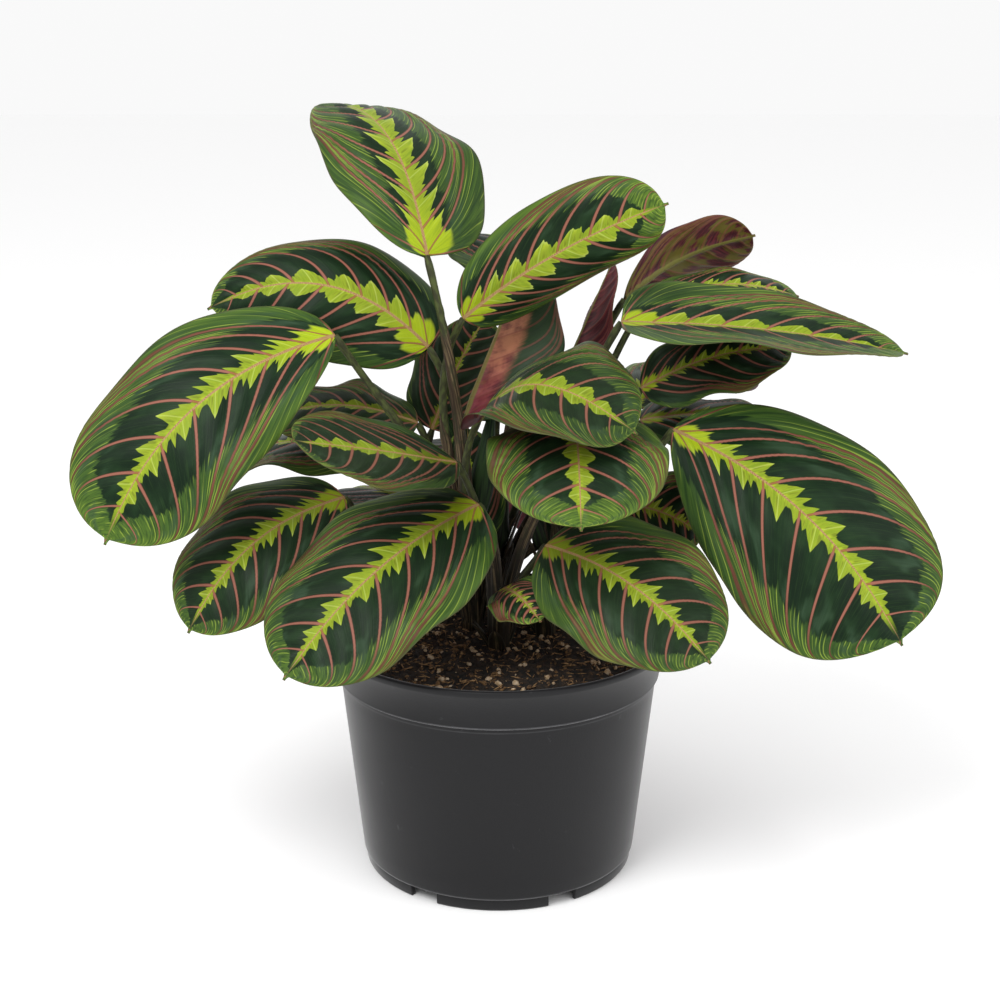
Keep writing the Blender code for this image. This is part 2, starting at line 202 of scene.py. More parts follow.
def blade(shoot, base, tip, width, face, bow=0, sweep=0, cup=(-15, -15), **more):
    """One leaf: its blade runs from base to tip, and face is the (bearing, elevation) that
    its upper side looks at. bow lifts the middle of the midrib and sweep moves it to the
    right; cup is how far the left and right halves turn up, in degrees at the margin."""
    row = dict(fold=(0, 0), twist=0, skew=0.9, sides=(1, 1), fullness=2.3, wave=WAVE, phase=0)
    row.update(shoot=shoot, base=base, tip=tip, width=width, face=face)
    row.update(bow=bow, sweep=sweep, cup=cup)
    row.update(more)
    if not isinstance(row["skew"], tuple):
        row["skew"] = (row["skew"], row["skew"])
    return row


LEAVES = {
    # the high leaves
    "leaf_01": blade("shoot_middle", (-26, -2, 238), (-66, 72, 287), 66, (38, 50), 18, -1, (-55, 0),
                     skew=(1.0, 0.7), sides=(0.84, 1.0), fullness=1.6),
    "leaf_02": blade("shoot_middle", (-13, -2, 215), (60, -18, 259), 40, (5, 10), 3, -4, (-15, -80),
                     skew=1.05, fullness=2.8),
    "leaf_03": blade("shoot_middle", (-26, 4, 203), (-108, 6, 217), 54, (0, 30), 12, 13, (-40, -50),
                     skew=(0.8, 0.7), sides=(1, 0.95), fullness=1.4),
    "leaf_04": blade("shoot_middle", (-59, -14, 211), (-139, -50, 143), 62, (-10, 25), 12, 11,
                     (-10, -20), skew=(1.3, 1.1), fullness=3.2),
    "leaf_14": blade("shoot_back_right", (45, -4, 214), (150, -8, 203), 54, (0, 66), 4, 0, (10, 0),
                     fold=(0, 22), skew=(0.6, 0.75), sides=(0.92, 1.2), fullness=1.7, wave=1.2),
    "leaf_15": blade("shoot_back_right", (56, 26, 216), (115, 28, 218), 34, (0, 70), 7, 0,
                     (-20, -20), wave=1.0),
    "leaf_16": blade("shoot_back_right", (49, 40, 215), (100, 46, 239), 36, (170, 30), 8, 0, (40, 40),
                     skew=1.4, sides=(1, 0.72)),
    # the leaves of the middle, three of them young and half rolled
    "leaf_07": blade("shoot_front", (-15, -24, 166), (-70, -66, 185), 44, (0, 64), 1, 0, (0, 10),
                     skew=(1.25, 1.1), sides=(1.12, 0.9), wave=0.8, phase=0.4),
    "leaf_08": blade("shoot_left", (-31, 16, 171), (-89, 20, 172), 38, (0, 65), 8, 0, (-20, -20)),
    "leaf_09": blade("shoot_middle", (-7, -14, 180), (48, -54, 184), 62, (0, 58), 19, 0, (-20, 30),
                     skew=1.2),
    "leaf_10": blade("shoot_front", (27, -20, 182), (28, -76, 156), 64, (0, 55), 12, 0, (-15, -15),
                     skew=1.0, fullness=2.8),
    "leaf_13": blade("shoot_right", (54, 12, 173), (129, 22, 151), 50, (0, 75), 12, 0, (-25, -25)),
    "leaf_17": blade("shoot_back_right", (20, 32, 172), (45, 35, 231), 32, (100, 10), 0, 0, (40, 40)),
    "leaf_18": blade("shoot_middle", (-12, 6, 176), (11, 24, 232), 54, (100, 0), 0, 0, (50, 60),
                     fold=(30, 40)),
    "leaf_19": blade("shoot_back_right", (54, 10, 186), (111, 10, 202), 40, (0, 62), 6, 0,
                     (-10, -10)),
    "leaf_20": blade("shoot_back", (-26, 30, 165), (-5, 50, 206), 38, (-20, 40), 4, 0, (-10, -10)),
    "leaf_33": blade("shoot_back", (-8, 21, 122), (-12, 23, 168), 26, (-10, 14), 3, 0, (-15, -15)),
    # the low leaves of the front, which hang over the rim
    "leaf_05": blade("shoot_left", (-57, -14, 150), (-112, -45, 108), 54, (-25, 35), 12, 3,
                     (-20, -20)),
    "leaf_06": blade("shoot_front", (-7, -30, 152), (-74, -78, 103), 62, (-20, 40), 10, 2,
                     (-15, -20), fullness=3.0),
    "leaf_11": blade("shoot_front", (17, -35, 138), (73, -78, 109), 58, (15, 40), 8, -3,
                     (-10, -20)),
    "leaf_12": blade("shoot_right", (64, -14, 176), (145, -50, 105), 72, (10, 30), 8, -8,
                     (-10, -30), skew=(1.25, 1.3), sides=(1.02, 1.12), fullness=3.6),
    "leaf_21": blade("shoot_right", (43, 2, 143), (78, -4, 132), 40, (0, 50), 6, 0, (-10, -10)),
    "leaf_22": blade("shoot_front", (2, -36, 122), (15, -58, 117), 24, (0, 50), 4, 0, (-10, -10)),
    # the leaves of the back and the sides
    "leaf_23": blade("shoot_back", (-34, 60, 190), (-88, 108, 202), 56, (-140, 65), 14),
    "leaf_24": blade("shoot_back", (-14, 50, 154), (-30, 116, 106), 58, (-165, 35), 14),
    "leaf_25": blade("shoot_back_right", (50, 46, 170), (102, 100, 164), 58, (140, 60), 14),
    "leaf_26": blade("shoot_back", (-26, 36, 128), (-84, 90, 112), 52, (-140, 60), 12),
    "leaf_27": blade("shoot_back", (36, 40, 130), (96, 78, 106), 52, (125, 60), 12),
    "leaf_28": blade("shoot_back", (8, 52, 214), (-8, 122, 222), 50, (175, 70), 14),
    "leaf_29": blade("shoot_left", (-38, 20, 152), (-114, 40, 146), 50, (-90, 70), 12),
    "leaf_30": blade("shoot_right", (48, 20, 136), (118, 38, 120), 52, (90, 65), 12),
    "leaf_31": blade("shoot_back", (12, 50, 146), (22, 112, 92), 54, (170, 35), 14),
    "leaf_32": blade("shoot_back", (0, 44, 176), (8, 118, 166), 54, (176, 60), 14),
}

# How an upper side is marked: how far its dark blotches and its lime band reach, how much the
# band's teeth lean towards the tip like a saw's, how rounded they are, how dull the whole side
# is, partly its own tone and partly painted shade on leaves that lie in shadow, and how bright
# green its margin and tip are.
Look = namedtuple("Look", "dark band saw blunt dull bright", defaults=(0.64, 0.92, 0.0, 0.0, 0.0, 0.4))
LOOKS = {
    "leaf_01": Look(dark=0.42, band=1.20, saw=0.9, dull=0.10),
    "leaf_02": Look(dark=0.66, band=1.12, blunt=1.0, dull=0.10, bright=1.0),
    "leaf_03": Look(dark=0.72, band=0.90, saw=0.1, blunt=1.0, dull=0.05, bright=0.1),
    "leaf_04": Look(dark=0.60, bright=0.6),
    "leaf_05": Look(dark=0.66, band=0.90, dull=0.25, bright=0.3),
    "leaf_06": Look(band=0.90, dull=0.20),
    "leaf_07": Look(dark=0.80, band=0.82, blunt=1.0, dull=0.6, bright=0.0),
    "leaf_08": Look(dark=0.45, band=0.60, blunt=1.0, dull=0.7, bright=0.2),
    "leaf_09": Look(dark=0.48, band=0.80, blunt=1.0, dull=0.6, bright=0.2),
    "leaf_10": Look(dark=0.58, band=0.70, blunt=1.0, dull=0.25, bright=1.0),
    "leaf_11": Look(band=0.90, dull=0.45),
    "leaf_12": Look(dark=0.70, band=0.80, bright=0.1),
    "leaf_13": Look(dark=0.80, band=0.70, dull=0.3, bright=0.1),
    "leaf_14": Look(dark=0.46, band=0.75, saw=0.3, blunt=1.0, dull=0.10, bright=0.5),
    "leaf_19": Look(dark=0.85, band=0.80, dull=0.2, bright=0.1),
    "leaf_20": Look(dark=0.85, band=0.50, dull=0.5, bright=0.0),
    "leaf_33": Look(dark=0.85, band=0.50, dull=0.5, bright=0.0),
}

# How an underside is marked: how much of it is olive, from what share of the half width on it
# is dark green, and how pink its inner part is.
Underside = namedtuple("Underside", "olive green_from pink", defaults=(0.05, 2.0, 0.0))
UNDERSIDES = {
    "leaf_16": Underside(olive=0.55),
    "leaf_18": Underside(olive=0.25, green_from=0.42, pink=1.0),
}

# Colours, linear.
DARK_GREEN = (0.0045, 0.0135, 0.0055)
DEEP_GREEN = (0.0100, 0.0280, 0.0095)
SHADE_GREEN = (0.020, 0.046, 0.012)
MID_GREEN = (0.038, 0.080, 0.015)
LIGHT_GREEN = (0.098, 0.172, 0.021)
STREAK_LIME = (0.200, 0.275, 0.040)
SHEEN_GREEN = (0.032, 0.062, 0.034)
# a dull green, partly the leaves' own duller tone and partly painted shade
DULL_AND_SHADE_GREEN = (0.018, 0.029, 0.012)
LIME = (0.310, 0.385, 0.024)
LIME_DEEP = (0.170, 0.245, 0.014)
LIME_BASE = (0.340, 0.440, 0.008)
LIME_OLIVE = (0.070, 0.098, 0.008)
LIME_PALE = (0.420, 0.500, 0.110)
# the veins' pink middle, partly a painted highlight, and their brown edges, partly painted shade
VEIN_PINK = (0.275, 0.104, 0.072)
VEIN_BROWN = (0.085, 0.026, 0.018)
VEIN_IN_LIME = (0.230, 0.095, 0.024)
MIDRIB = (0.250, 0.115, 0.060)
MIDRIB_PALE = (0.380, 0.270, 0.105)
MARGIN_TAN = (0.075, 0.068, 0.034)
MAROON = (0.110, 0.017, 0.022)
MAROON_DEEP = (0.036, 0.007, 0.010)
STRIP_PINK = (0.400, 0.165, 0.085)
STRIP_CRIMSON = (0.165, 0.022, 0.034)
OLIVE = (0.082, 0.078, 0.007)
OLIVE_PALE = (0.130, 0.130, 0.026)
VEIN_UNDER = (0.170, 0.045, 0.034)
STALK_GREEN = (0.060, 0.074, 0.022)
STALK_OLIVE = (0.030, 0.032, 0.014)
# painted shade on the stalks low down, near the soil
STALK_PAINTED_SHADE = (0.0075, 0.0070, 0.0045)
SHEATH_TAN = (0.155, 0.115, 0.060)
SHEATH_BROWN = (0.034, 0.022, 0.014)
SOIL_BLACK = (0.0040, 0.0028, 0.0017)
SOIL_BROWN = (0.028, 0.015, 0.0058)
SOIL_TAN = (0.230, 0.120, 0.040)
BARK_DARK = (0.030, 0.016, 0.007)
BARK_BROWN = (0.160, 0.085, 0.030)
FIBRE_BROWN = (0.060, 0.030, 0.011)
FIBRE_TAN = (0.340, 0.200, 0.085)
GRIT_TAN = (0.300, 0.200, 0.100)
GRIT_PALE = (0.450, 0.350, 0.240)
POT_DARK = (0.0035, 0.0035, 0.0043)
POT_GREY = (0.0070, 0.0070, 0.0080)
# light grey of the real scuffs and of the painted edge highlights
POT_SCUFF_AND_HIGHLIGHT = (0.0700, 0.0700, 0.0740)
FLOOR_WHITE = (0.98, 0.98, 0.98)


# --- numbers and meshes ---

def unit(vector):
    """The same direction with a length of 1."""
    length = np.linalg.norm(vector, axis=-1, keepdims=True)
    return vector / np.maximum(length, 1e-9)


def smooth(low, high, value):
    """Goes smoothly from 0 at low to 1 at high."""
    share = np.clip((value - low) / (high - low), 0, 1)
    return share * share * (3 - 2 * share)


def place(points):
    """From millimetres around the pot's axis to metres in the frame."""
    return np.asarray(points) * MM + np.array(POT_AXIS)


def grid_faces(rows, columns, start=0, flip=False):
    """The quads of a grid of points, counted row by row."""
    i, j = np.meshgrid(np.arange(rows - 1), np.arange(columns - 1), indexing="ij")
    a = start + i * columns + j
    quads = np.stack([a, a + 1, a + columns + 1, a + columns], axis=-1).reshape(-1, 4)
    return quads[:, ::-1] if flip else quads


def ring_faces(count, sides, flip=False):
    """The quads between closed rings of points, counted ring by ring."""
    i, j = np.meshgrid(np.arange(count - 1), np.arange(sides), indexing="ij")
    after = (j + 1) % sides
    quads = np.stack([i * sides + j, i * sides + after, (i + 1) * sides + after, (i + 1) * sides + j], -1)
    quads = quads.reshape(-1, 4)
    return quads[:, [0, 3, 2, 1]] if flip else quads


def closed_rings(rings, first, last):
    """A closed body of rings, with one more point to close each end."""
    count, sides = rings.shape[:2]
    points = np.concatenate([rings.reshape(-1, 3), [first], [last]])
    around = np.arange(sides)
    after = (around + 1) % sides
    end = (count - 1) * sides
    middle = np.full(sides, count * sides)
    faces = ring_faces(count, sides, flip=True).tolist()
    faces += np.stack([middle, around, after], -1).tolist()
    faces += np.stack([middle + 1, end + after, end + around], -1).tolist()
    return points, faces


def new_mesh(name, points, faces, maps=None, slots=None, materials=()):
    """A smooth piece from points in metres. maps holds UV maps as arrays of one (u, v) for
    each face corner, and slots one material number for each face."""
    mesh = bpy.data.meshes.new(name)
    mesh.from_pydata([tuple(p) for p in points], [], [tuple(f) for f in faces])
    for map_name, corners in (maps or {}).items():
        layer = mesh.uv_layers.new(name=map_name)
        layer.data.foreach_set("uv", np.asarray(corners, np.float32).reshape(-1))
    for material in materials:
        mesh.materials.append(material)
    if slots is not None:
        mesh.polygons.foreach_set("material_index", np.asarray(slots, np.int32))
    mesh.shade_smooth()
    mesh.update()
    made = bpy.data.objects.new(name, mesh)
    bpy.context.scene.collection.objects.link(made)
    return made


# --- shader graphs ---

def sign(operation, swap=False):
    """A method that adds a node of arithmetic. swap is for a plain number on the left."""
    def method(number, *others):
        values = (*others, number) if swap else (number, *others)
        return number.graph.math(operation, *values)
    return method


class Number:
    """A number that a material works out. Signs between two of them add a node."""

    __add__ = sign("ADD")
    __radd__ = sign("ADD", swap=True)
    __sub__ = sign("SUBTRACT")
    __rsub__ = sign("SUBTRACT", swap=True)
    __mul__ = sign("MULTIPLY")
    __truediv__ = sign("DIVIDE")
    __pow__ = sign("POWER")
    __abs__ = sign("ABSOLUTE")
    floor = sign("FLOOR")
    fraction = sign("FRACT")

    def __init__(self, graph, socket):
        self.graph = graph
        self.socket = socket

    def step(self, low, high, to_low=0.0, to_high=1.0):
        """Goes smoothly from to_low at low to to_high at high."""
        return self.graph.ramp("SMOOTHSTEP", self, low, high, to_low, to_high)

    def line(self, low, high, to_low=0.0, to_high=1.0):
        """Goes straight from to_low at low to to_high at high."""
        return self.graph.ramp("LINEAR", self, low, high, to_low, to_high)


class Graph:
    """The nodes of a material. Colours are sockets or (red, green, blue)."""

    def __init__(self, name):
        self.material = bpy.data.materials.new(name)
        self.material.use_nodes = True
        self.tree = self.material.node_tree
        self.shader = self.tree.nodes["Principled BSDF"]

    def put(self, socket, value):
        """Sets an input, or links it to what feeds it."""
        if isinstance(value, Number):
            value = value.socket
        if isinstance(value, bpy.types.NodeSocket):
            self.tree.links.new(value, socket)
        elif socket.type == "RGBA" and len(value) == 3:
            socket.default_value = (*value, 1)
        else:
            socket.default_value = value

    def node(self, kind, settings=None, **inputs):
        made = self.tree.nodes.new(kind)
        for key, value in (settings or {}).items():
            setattr(made, key, value)
        for key, value in inputs.items():
            self.put(made.inputs[key.replace("_", " ")], value)
        return made

    def math(self, operation, *values):
        made = self.node("ShaderNodeMath", {"operation": operation})
        for socket, value in zip(made.inputs, values):
            self.put(socket, value)
        return Number(self, made.outputs[0])

    def ramp(self, kind, value, low, high, to_low, to_high):
        made = self.node("ShaderNodeMapRange", {"interpolation_type": kind}, Value=value,
                         From_Min=low, From_Max=high, To_Min=to_low, To_Max=to_high)
        return Number(self, made.outputs[0])

    def least(self, a, b):
        return self.math("MINIMUM", a, b)

    def most(self, first, *others):
        for other in others:
            first = self.math("MAXIMUM", first, other)
        return first

    def blend(self, share, a, b):
        """A number between a and b."""
        return a + (b - a) * share

    def vector(self, *parts):
        made = self.node("ShaderNodeCombineXYZ")
        for socket, value in zip(made.inputs, parts):
            self.put(socket, value)
        return made.outputs[0]

    def parts(self, vector):
        made = self.node("ShaderNodeSeparateXYZ")
        self.put(made.inputs[0], vector)
        return [Number(self, socket) for socket in made.outputs]

    def uv(self, name):
        """The two numbers of a UV map."""
        return self.parts(self.node("ShaderNodeUVMap", {"uv_map": name}).outputs[0])[:2]

    def where(self):
        """The point in metres, in the piece's own frame."""
        return self.node("ShaderNodeTexCoord").outputs["Object"]

    def height(self):
        """Millimetres above the level that the pot stands on."""
        return self.parts(self.where())[2] * (1 / MM)

    def noise(self, vector, scale, detail=2.0, roughness=0.5):
        made = self.node("ShaderNodeTexNoise", Vector=vector, Scale=scale, Detail=detail,
                         Roughness=roughness)
        return Number(self, made.outputs["Fac"])

    def mix(self, share, a, b):
        """A colour between a and b."""
        made = self.node("ShaderNodeMix", {"data_type": "RGBA"})
        self.put(made.inputs["Factor"], share)
        self.put(made.inputs[6], a)
        self.put(made.inputs[7], b)
        return made.outputs[2]

    def paint(self, colour, *layers):
        """Lays colours over a first one, each with its own share."""
        for share, over in layers:
            colour = self.mix(share, colour, over)
        return colour

    def bump(self, height, distance, strength):
        made = self.node("ShaderNodeBump", Height=height, Distance=distance, Strength=strength)
        return made.outputs[0]

    def finish(self, **inputs):
        """Feeds the shader and gives the material."""
        for key, value in inputs.items():
            self.put(self.shader.inputs[key.replace("_", " ")], value)
        return self.material


# --- blades, with the form that the solids have ---

def half_outline(along, across, row):
    """Share of the half width at a share of the length. The halves may differ."""
    left = across < 0
    reach = np.clip(along / BODY_END, 0, 1)
    turn = 2 * reach ** np.where(left, row["skew"][0], row["skew"][1]) - 1
    power = np.where(turn < 0, BASE_FULLNESS, row["fullness"])
    body = np.sqrt(np.clip(1 - np.abs(turn) ** power, 0, 1))
    point = np.clip((1 - along) / POINT_LENGTH, 0, 1) * POINT_WIDTH
    shape = np.where(along > 0.5, np.maximum(body, point), body)
    return shape * np.where(left, row["sides"][0], row["sides"][1])


def blade_axes(row):
    """The base, middle and tip of the midrib's curve, and the way the blade faces."""
    base, tip = np.array(row["base"], float), np.array(row["tip"], float)
    bearing, elevation = np.radians(row["face"])
    looks = np.array([np.sin(bearing) * np.cos(elevation),
                      -np.cos(bearing) * np.cos(elevation), np.sin(elevation)])
    chord = unit(tip - base)
    up = unit(looks - (looks @ chord) * chord)
    right = np.cross(chord, up)
    middle = (base + tip) / 2 + 2 * row["bow"] * up + 2 * row["sweep"] * right
    return base, middle, tip, up


def blade_points(row, along, across):
    """Places on the blade's middle surface, and their distance from the midrib. along goes
    from 0 at the base to 1 at the tip, and across from -1 at the left margin to 1 at the
    right one."""
    base, middle, tip, up = blade_axes(row)
    s = along[..., None]
    midrib = (1 - s) ** 2 * base + 2 * s * (1 - s) * middle + s ** 2 * tip
    ahead = unit((1 - s) * (middle - base) + s * (tip - middle))
    normal = unit(up - np.sum(ahead * up, -1, keepdims=True) * ahead)
    side = np.cross(ahead, normal)

    half = row["width"] / 2
    reach = np.maximum(half * half_outline(along, across, row), END_HALF_WIDTH)
    out = np.abs(across) * reach
    left = across < 0
    bend = np.radians(np.where(left, row["cup"][0], row["cup"][1])) / half
    bend = np.where(np.abs(bend) < 1e-6, 1e-6, bend)
    fold = np.radians(np.where(left, row["fold"][0], row["fold"][1]))
    flat = (np.sin(fold + bend * out) - np.sin(fold)) / bend
    lift = (np.cos(fold) - np.cos(fold + bend * out)) / bend
    turns = WAVES * along + row["phase"] + WAVE_SHIFT * (across > 0)
    lift = lift + row["wave"] * (out / half) ** 2 * np.sin(2 * np.pi * turns)
    points = midrib + (np.sign(across) * flat)[..., None] * side + lift[..., None] * normal
    return points, out


def surface_normals(points):
    lengthwise = np.gradient(points, axis=0)
    crosswise = np.gradient(points, axis=1)
    return unit(np.cross(crosswise, lengthwise))


def vein_count(along, across):
    """Which side vein passes here: whole numbers lie on the veins, 0 is the lowest one that
    leaves the midrib. A vein leaves it slantwise and then runs on beside the margin; those
    below 0 fan out from the blade's base."""
    out = np.abs(across)
    source = along
    for _ in range(VEIN_ROUNDS):
        level = np.clip(source, 0, 1)
        slant = VEIN_SLANT + VEIN_TIP_SLANT * level ** 2
        turn = out ** (VEIN_TURN - VEIN_TIP_TURN * level)
        run = slant * out + (VEIN_END - slant) * turn
        source = (along - run) / (1 - run)
    count = VEINS * (source + VEIN_CROWDING / (2 * np.pi) * np.sin(2 * np.pi * source))
    fan = FAN_VEINS * (along / np.maximum(run, 1e-6) - 1)
    return np.where(along < run, fan, count)


def slope(value, points):
    """How fast a value changes on the surface, per millimetre."""
    a, b = np.gradient(points, axis=0), np.gradient(points, axis=1)
    va, vb = np.gradient(value, axis=0), np.gradient(value, axis=1)
    e, f, g = np.sum(a * a, -1), np.sum(a * b, -1), np.sum(b * b, -1)
    area = np.maximum(e * g - f * f, 1e-6)
    return np.sqrt(np.maximum(g * va ** 2 - 2 * f * va * vb + e * vb ** 2, 0) / area)


def leaf_grid():
    """The places of a blade's cells, small at both ends and beside the midrib."""
    even = np.linspace(0, 1, CELLS_LONG + 1)
    lengthwise = 0.5 * even + 0.25 * (1 - np.cos(np.pi * even))
    crosswise = np.linspace(-1, 1, CELLS_WIDE + 1)
    crosswise = np.sign(crosswise) * np.abs(crosswise) ** MIDRIB_CROWDING
    return np.meshgrid(lengthwise, crosswise, indexing="ij")


def relief(row, along, across, out):
    """How far the pleats between the veins and the sunken midrib lift the surface."""
    share = np.abs(across)
    veins = vein_count(along, across) + VEIN_STAGGER * (across > 0)
    ends = smooth(0.02, 0.12, along) * (1 - smooth(0.90, 0.99, along))
    puff = np.abs(np.sin(np.pi * veins)) ** PLEAT_SHAPE - 0.5
    pleats = PLEAT * row["width"] * puff * ends * smooth(0.03, 0.2, share)
    pleats = pleats * (1 - 0.75 * smooth(0.7, 1.0, share))
    return pleats - GROOVE_DEPTH * np.exp(-(out / GROOVE_WIDTH) ** 2) * ends


def sheet_faces(rows, columns):
    """The faces of a closed sheet: its top, its bottom and the strip around its rim."""
    count = rows * columns
    edge = np.concatenate([
        np.arange(columns),
        np.arange(1, rows) * columns + columns - 1,
        (rows - 1) * columns + np.arange(columns - 2, -1, -1),
        np.arange(rows - 2, 0, -1) * columns,
    ])
    ahead = np.roll(edge, -1)
    rim = np.stack([edge, edge + count, ahead + count, ahead], axis=-1)
    return grid_faces(rows, columns), grid_faces(rows, columns, count, flip=True), rim


def bake_map(along, across, top, bottom, rim):
    """A map with the upper side, the lower side and the rim beside each other."""
    u = along.reshape(-1)
    v = (across.reshape(-1) + 1) / 2
    upper = np.stack([0.01 + 0.98 * u[top], 0.01 + 0.46 * v[top]], axis=-1)
    under = bottom - along.size
    lower = np.stack([0.01 + 0.98 * u[under], 0.50 + 0.46 * v[under]], axis=-1)
    steps = np.arange(len(rim)) / len(rim)
    start, end = 0.01 + 0.98 * steps, 0.01 + 0.98 * (steps + 1 / len(rim))
    strip = np.stack([
        np.stack([start, start, end, end], axis=-1),
        np.tile([0.975, 0.99, 0.99, 0.975], (len(rim), 1)),
    ], axis=-1)
    return np.concatenate([upper, lower, strip])


def leaf_maps(name, number, along, across, out, rate, sheet):
    """What the materials read at each face corner: the place along and across the blade, the
    side and how close the veins stand, the distance from the midrib and the leaf's own
    number, and how its upper side or its underside is marked."""
    faces = np.concatenate(sheet)
    below = np.repeat([False, True, False], [len(part) for part in sheet])

    def at_corners(value):
        return np.tile(value.reshape(-1), 2)[faces]

    def marks(upper, under=(0.0, 0.0)):
        return np.repeat(np.where(below[:, None], under, upper)[:, None], 4, axis=1)

    right = at_corners(across).mean(axis=1, keepdims=True) > 0
    look = LOOKS.get(name, Look())
    underside = UNDERSIDES.get(name, Underside())
    return {
        "blade": np.stack([at_corners(along), np.abs(at_corners(across))], -1),
        "veins": np.stack([np.repeat(right, 4, axis=1), at_corners(rate)], -1),
        "place": np.stack([at_corners(out), np.full(faces.shape, float(number))], -1),
        "reach": marks((look.dark, look.band), (underside.olive, underside.green_from)),
        "teeth": marks((look.saw, look.blunt)),
        "tone": marks((look.dull, look.bright), (underside.pink, 0.0)),
        "OFBake": bake_map(along, across, *sheet),
    }


def make_leaf(name, row, number):
    """One blade with its pleats, midrib and thin margin, as a closed sheet."""
    along, across = leaf_grid()
    middle, out = blade_points(row, along, across)
    middle = middle + relief(row, along, across, out)[..., None] * surface_normals(middle)
    normals = surface_normals(middle)
    inner = 1 - smooth(0.85, 1.0, np.abs(across))
    thick = MARGIN_THICK + (BLADE_THICK - MARGIN_THICK) * inner
    taper = RIB_TAPER * along
    rib = RIB_HEIGHT * (1 - taper) * np.exp(-(out / (RIB_WIDTH - taper)) ** 2)
    upper = middle + thick[..., None] / 2 * normals
    lower = middle - (thick / 2 + rib)[..., None] * normals
    points = np.concatenate([upper.reshape(-1, 3), lower.reshape(-1, 3)])
    sheet = sheet_faces(*along.shape)
    slots = np.repeat([0, 1, 0], [len(part) for part in sheet])
    rate = slope(vein_count(along, across), middle)
    maps = leaf_maps(name, number, along, across, out, rate, sheet)
    made = new_mesh(name + "_blade", place(points), np.concatenate(sheet), maps, slots, LEAF_MATERIALS)
    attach(made, "root")
    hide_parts(name)


# --- materials ---

def painted_veins(graph, along, share):
    """The same count as vein_count's, worked out for every point of the surface."""
    source = along
    for _ in range(VEIN_ROUNDS):
        level = graph.least(graph.most(source, 0.0), 1.0)
        slant = VEIN_SLANT + level ** 2.0 * VEIN_TIP_SLANT
        turn = share ** (VEIN_TURN - level * VEIN_TIP_TURN)
        run = slant * share + (VEIN_END - slant) * turn
        source = (along - run) / (1.0 - run)
    wave = graph.math("SINE", source * (2 * math.pi))
    count = (source + wave * (VEIN_CROWDING / (2 * math.pi))) * VEINS
    fan = (along / graph.most(run, 1e-6) - 1.0) * FAN_VEINS
    return graph.blend(graph.math("LESS_THAN", along, run), count, fan)


def blade_coordinates(graph):
    """The numbers that a blade's pattern is drawn with. within is 0 and 1 on two
    neighbouring veins, and off_vein and out are in millimetres."""
    along, share = graph.uv("blade")
    side, rate = graph.uv("veins")
    out, seed = graph.uv("place")
    veins = painted_veins(graph, along, share) + side * VEIN_STAGGER + VEIN_START
    within = veins.fraction()
    off_vein = (0.5 - abs(within - 0.5)) / graph.most(rate, 0.01)
    return SimpleNamespace(along=along, share=share, side=side, rate=rate, out=out, seed=seed,
                           veins=veins, within=within, cell=veins.floor(), off_vein=off_vein)


def vein_noise(graph, at, crosswise, lengthwise, detail=2.0, roughness=0.5):
    """Noise that is drawn out along the veins."""
    spot = graph.vector(at.veins * crosswise, at.share * lengthwise, at.seed)
    return graph.noise(spot, 1.0, detail, roughness)


def tooth(graph, within, centre, rise, fall, height, point):
    """A tooth of the lime band between two veins: where its tip is, how wide its two sides
    are, its height, and how pointed it is."""
    off = within - centre
    flank = graph.least(off / rise + 1.0, 1.0 - off / fall)
    return graph.most(flank, 0.0) ** point * height


def lime_edge(graph, at):
    """How far the lime band reaches from the midrib, as a share of the half width, and where
    between two veins its main tooth stands."""
    chance = graph.vector(at.seed * 3.7, at.cell * 1.9, at.side * 5.3)
    luck = graph.noise(chance, 1.0, 0.0)
    tall = luck.line(0.3, 0.7, 0.84, 1.04)
    small = graph.noise(chance, 1.7, 0.0).line(0.3, 0.7, 0.54, 0.70)
    point = at.blunt.line(0.0, 1.0, 0.85, 0.45)
    main_at = at.saw * 0.36 + 0.38 + luck.line(0.3, 0.7, -0.06, 0.06)
    main_fall = at.blunt.line(0.0, 1.0, 0.25, 0.48) - at.saw * 0.10
    teeth = ((main_at, at.saw * 0.40 + 0.34, main_fall, tall), (0.13, 0.10, 0.24, small * 0.92),
             (0.62, 0.16, 0.12, luck.line(0.4, 0.6, 0.72, 0.34)), (0.90, 0.20, 0.14, 1.16 - small))
    crumpled = graph.noise(graph.vector(at.within * 6.0, at.cell, at.seed), 1.0, 1.0)
    lobes = graph.most(*[tooth(graph, at.within, *form, point) for form in teeth], 0.27)
    lobes = lobes + crumpled.line(0.3, 0.7, -0.05, 0.07)
    # the teeth fade out at the base, where the band is widest, and at the tip
    lobes = graph.blend(at.along.step(0.15, 0.04), lobes, lobes * 0.25 + 0.75)
    # the wide lime patch at the base is smaller on the leaves marked dull: partly their own pattern,
    # partly painted shade
    base = at.along.step(0.14, 0.0, 0.0, 0.26) * (1.0 - at.dull)
    reach = at.along.line(0.12, 0.90, 0.35, 0.22) + base
    lobes = graph.blend(at.along.step(0.82, 0.93), lobes, 0.32)
    return reach * at.band * lobes, main_at


def light_lines(graph, at):
    """Thin light lines that run beside the veins here and there."""
    lanes = at.veins * 6.0 + at.patches * 0.7
    off_lane = abs(lanes.fraction() - 0.5) / graph.most(at.rate * 6.0, 0.01)
    lively = graph.noise(graph.vector(lanes.floor() * 3.1, at.share * 2.5, at.seed), 1.0, 1.0)
    return off_lane.step(0.22, 0.08) * lively.step(0.42, 0.58)


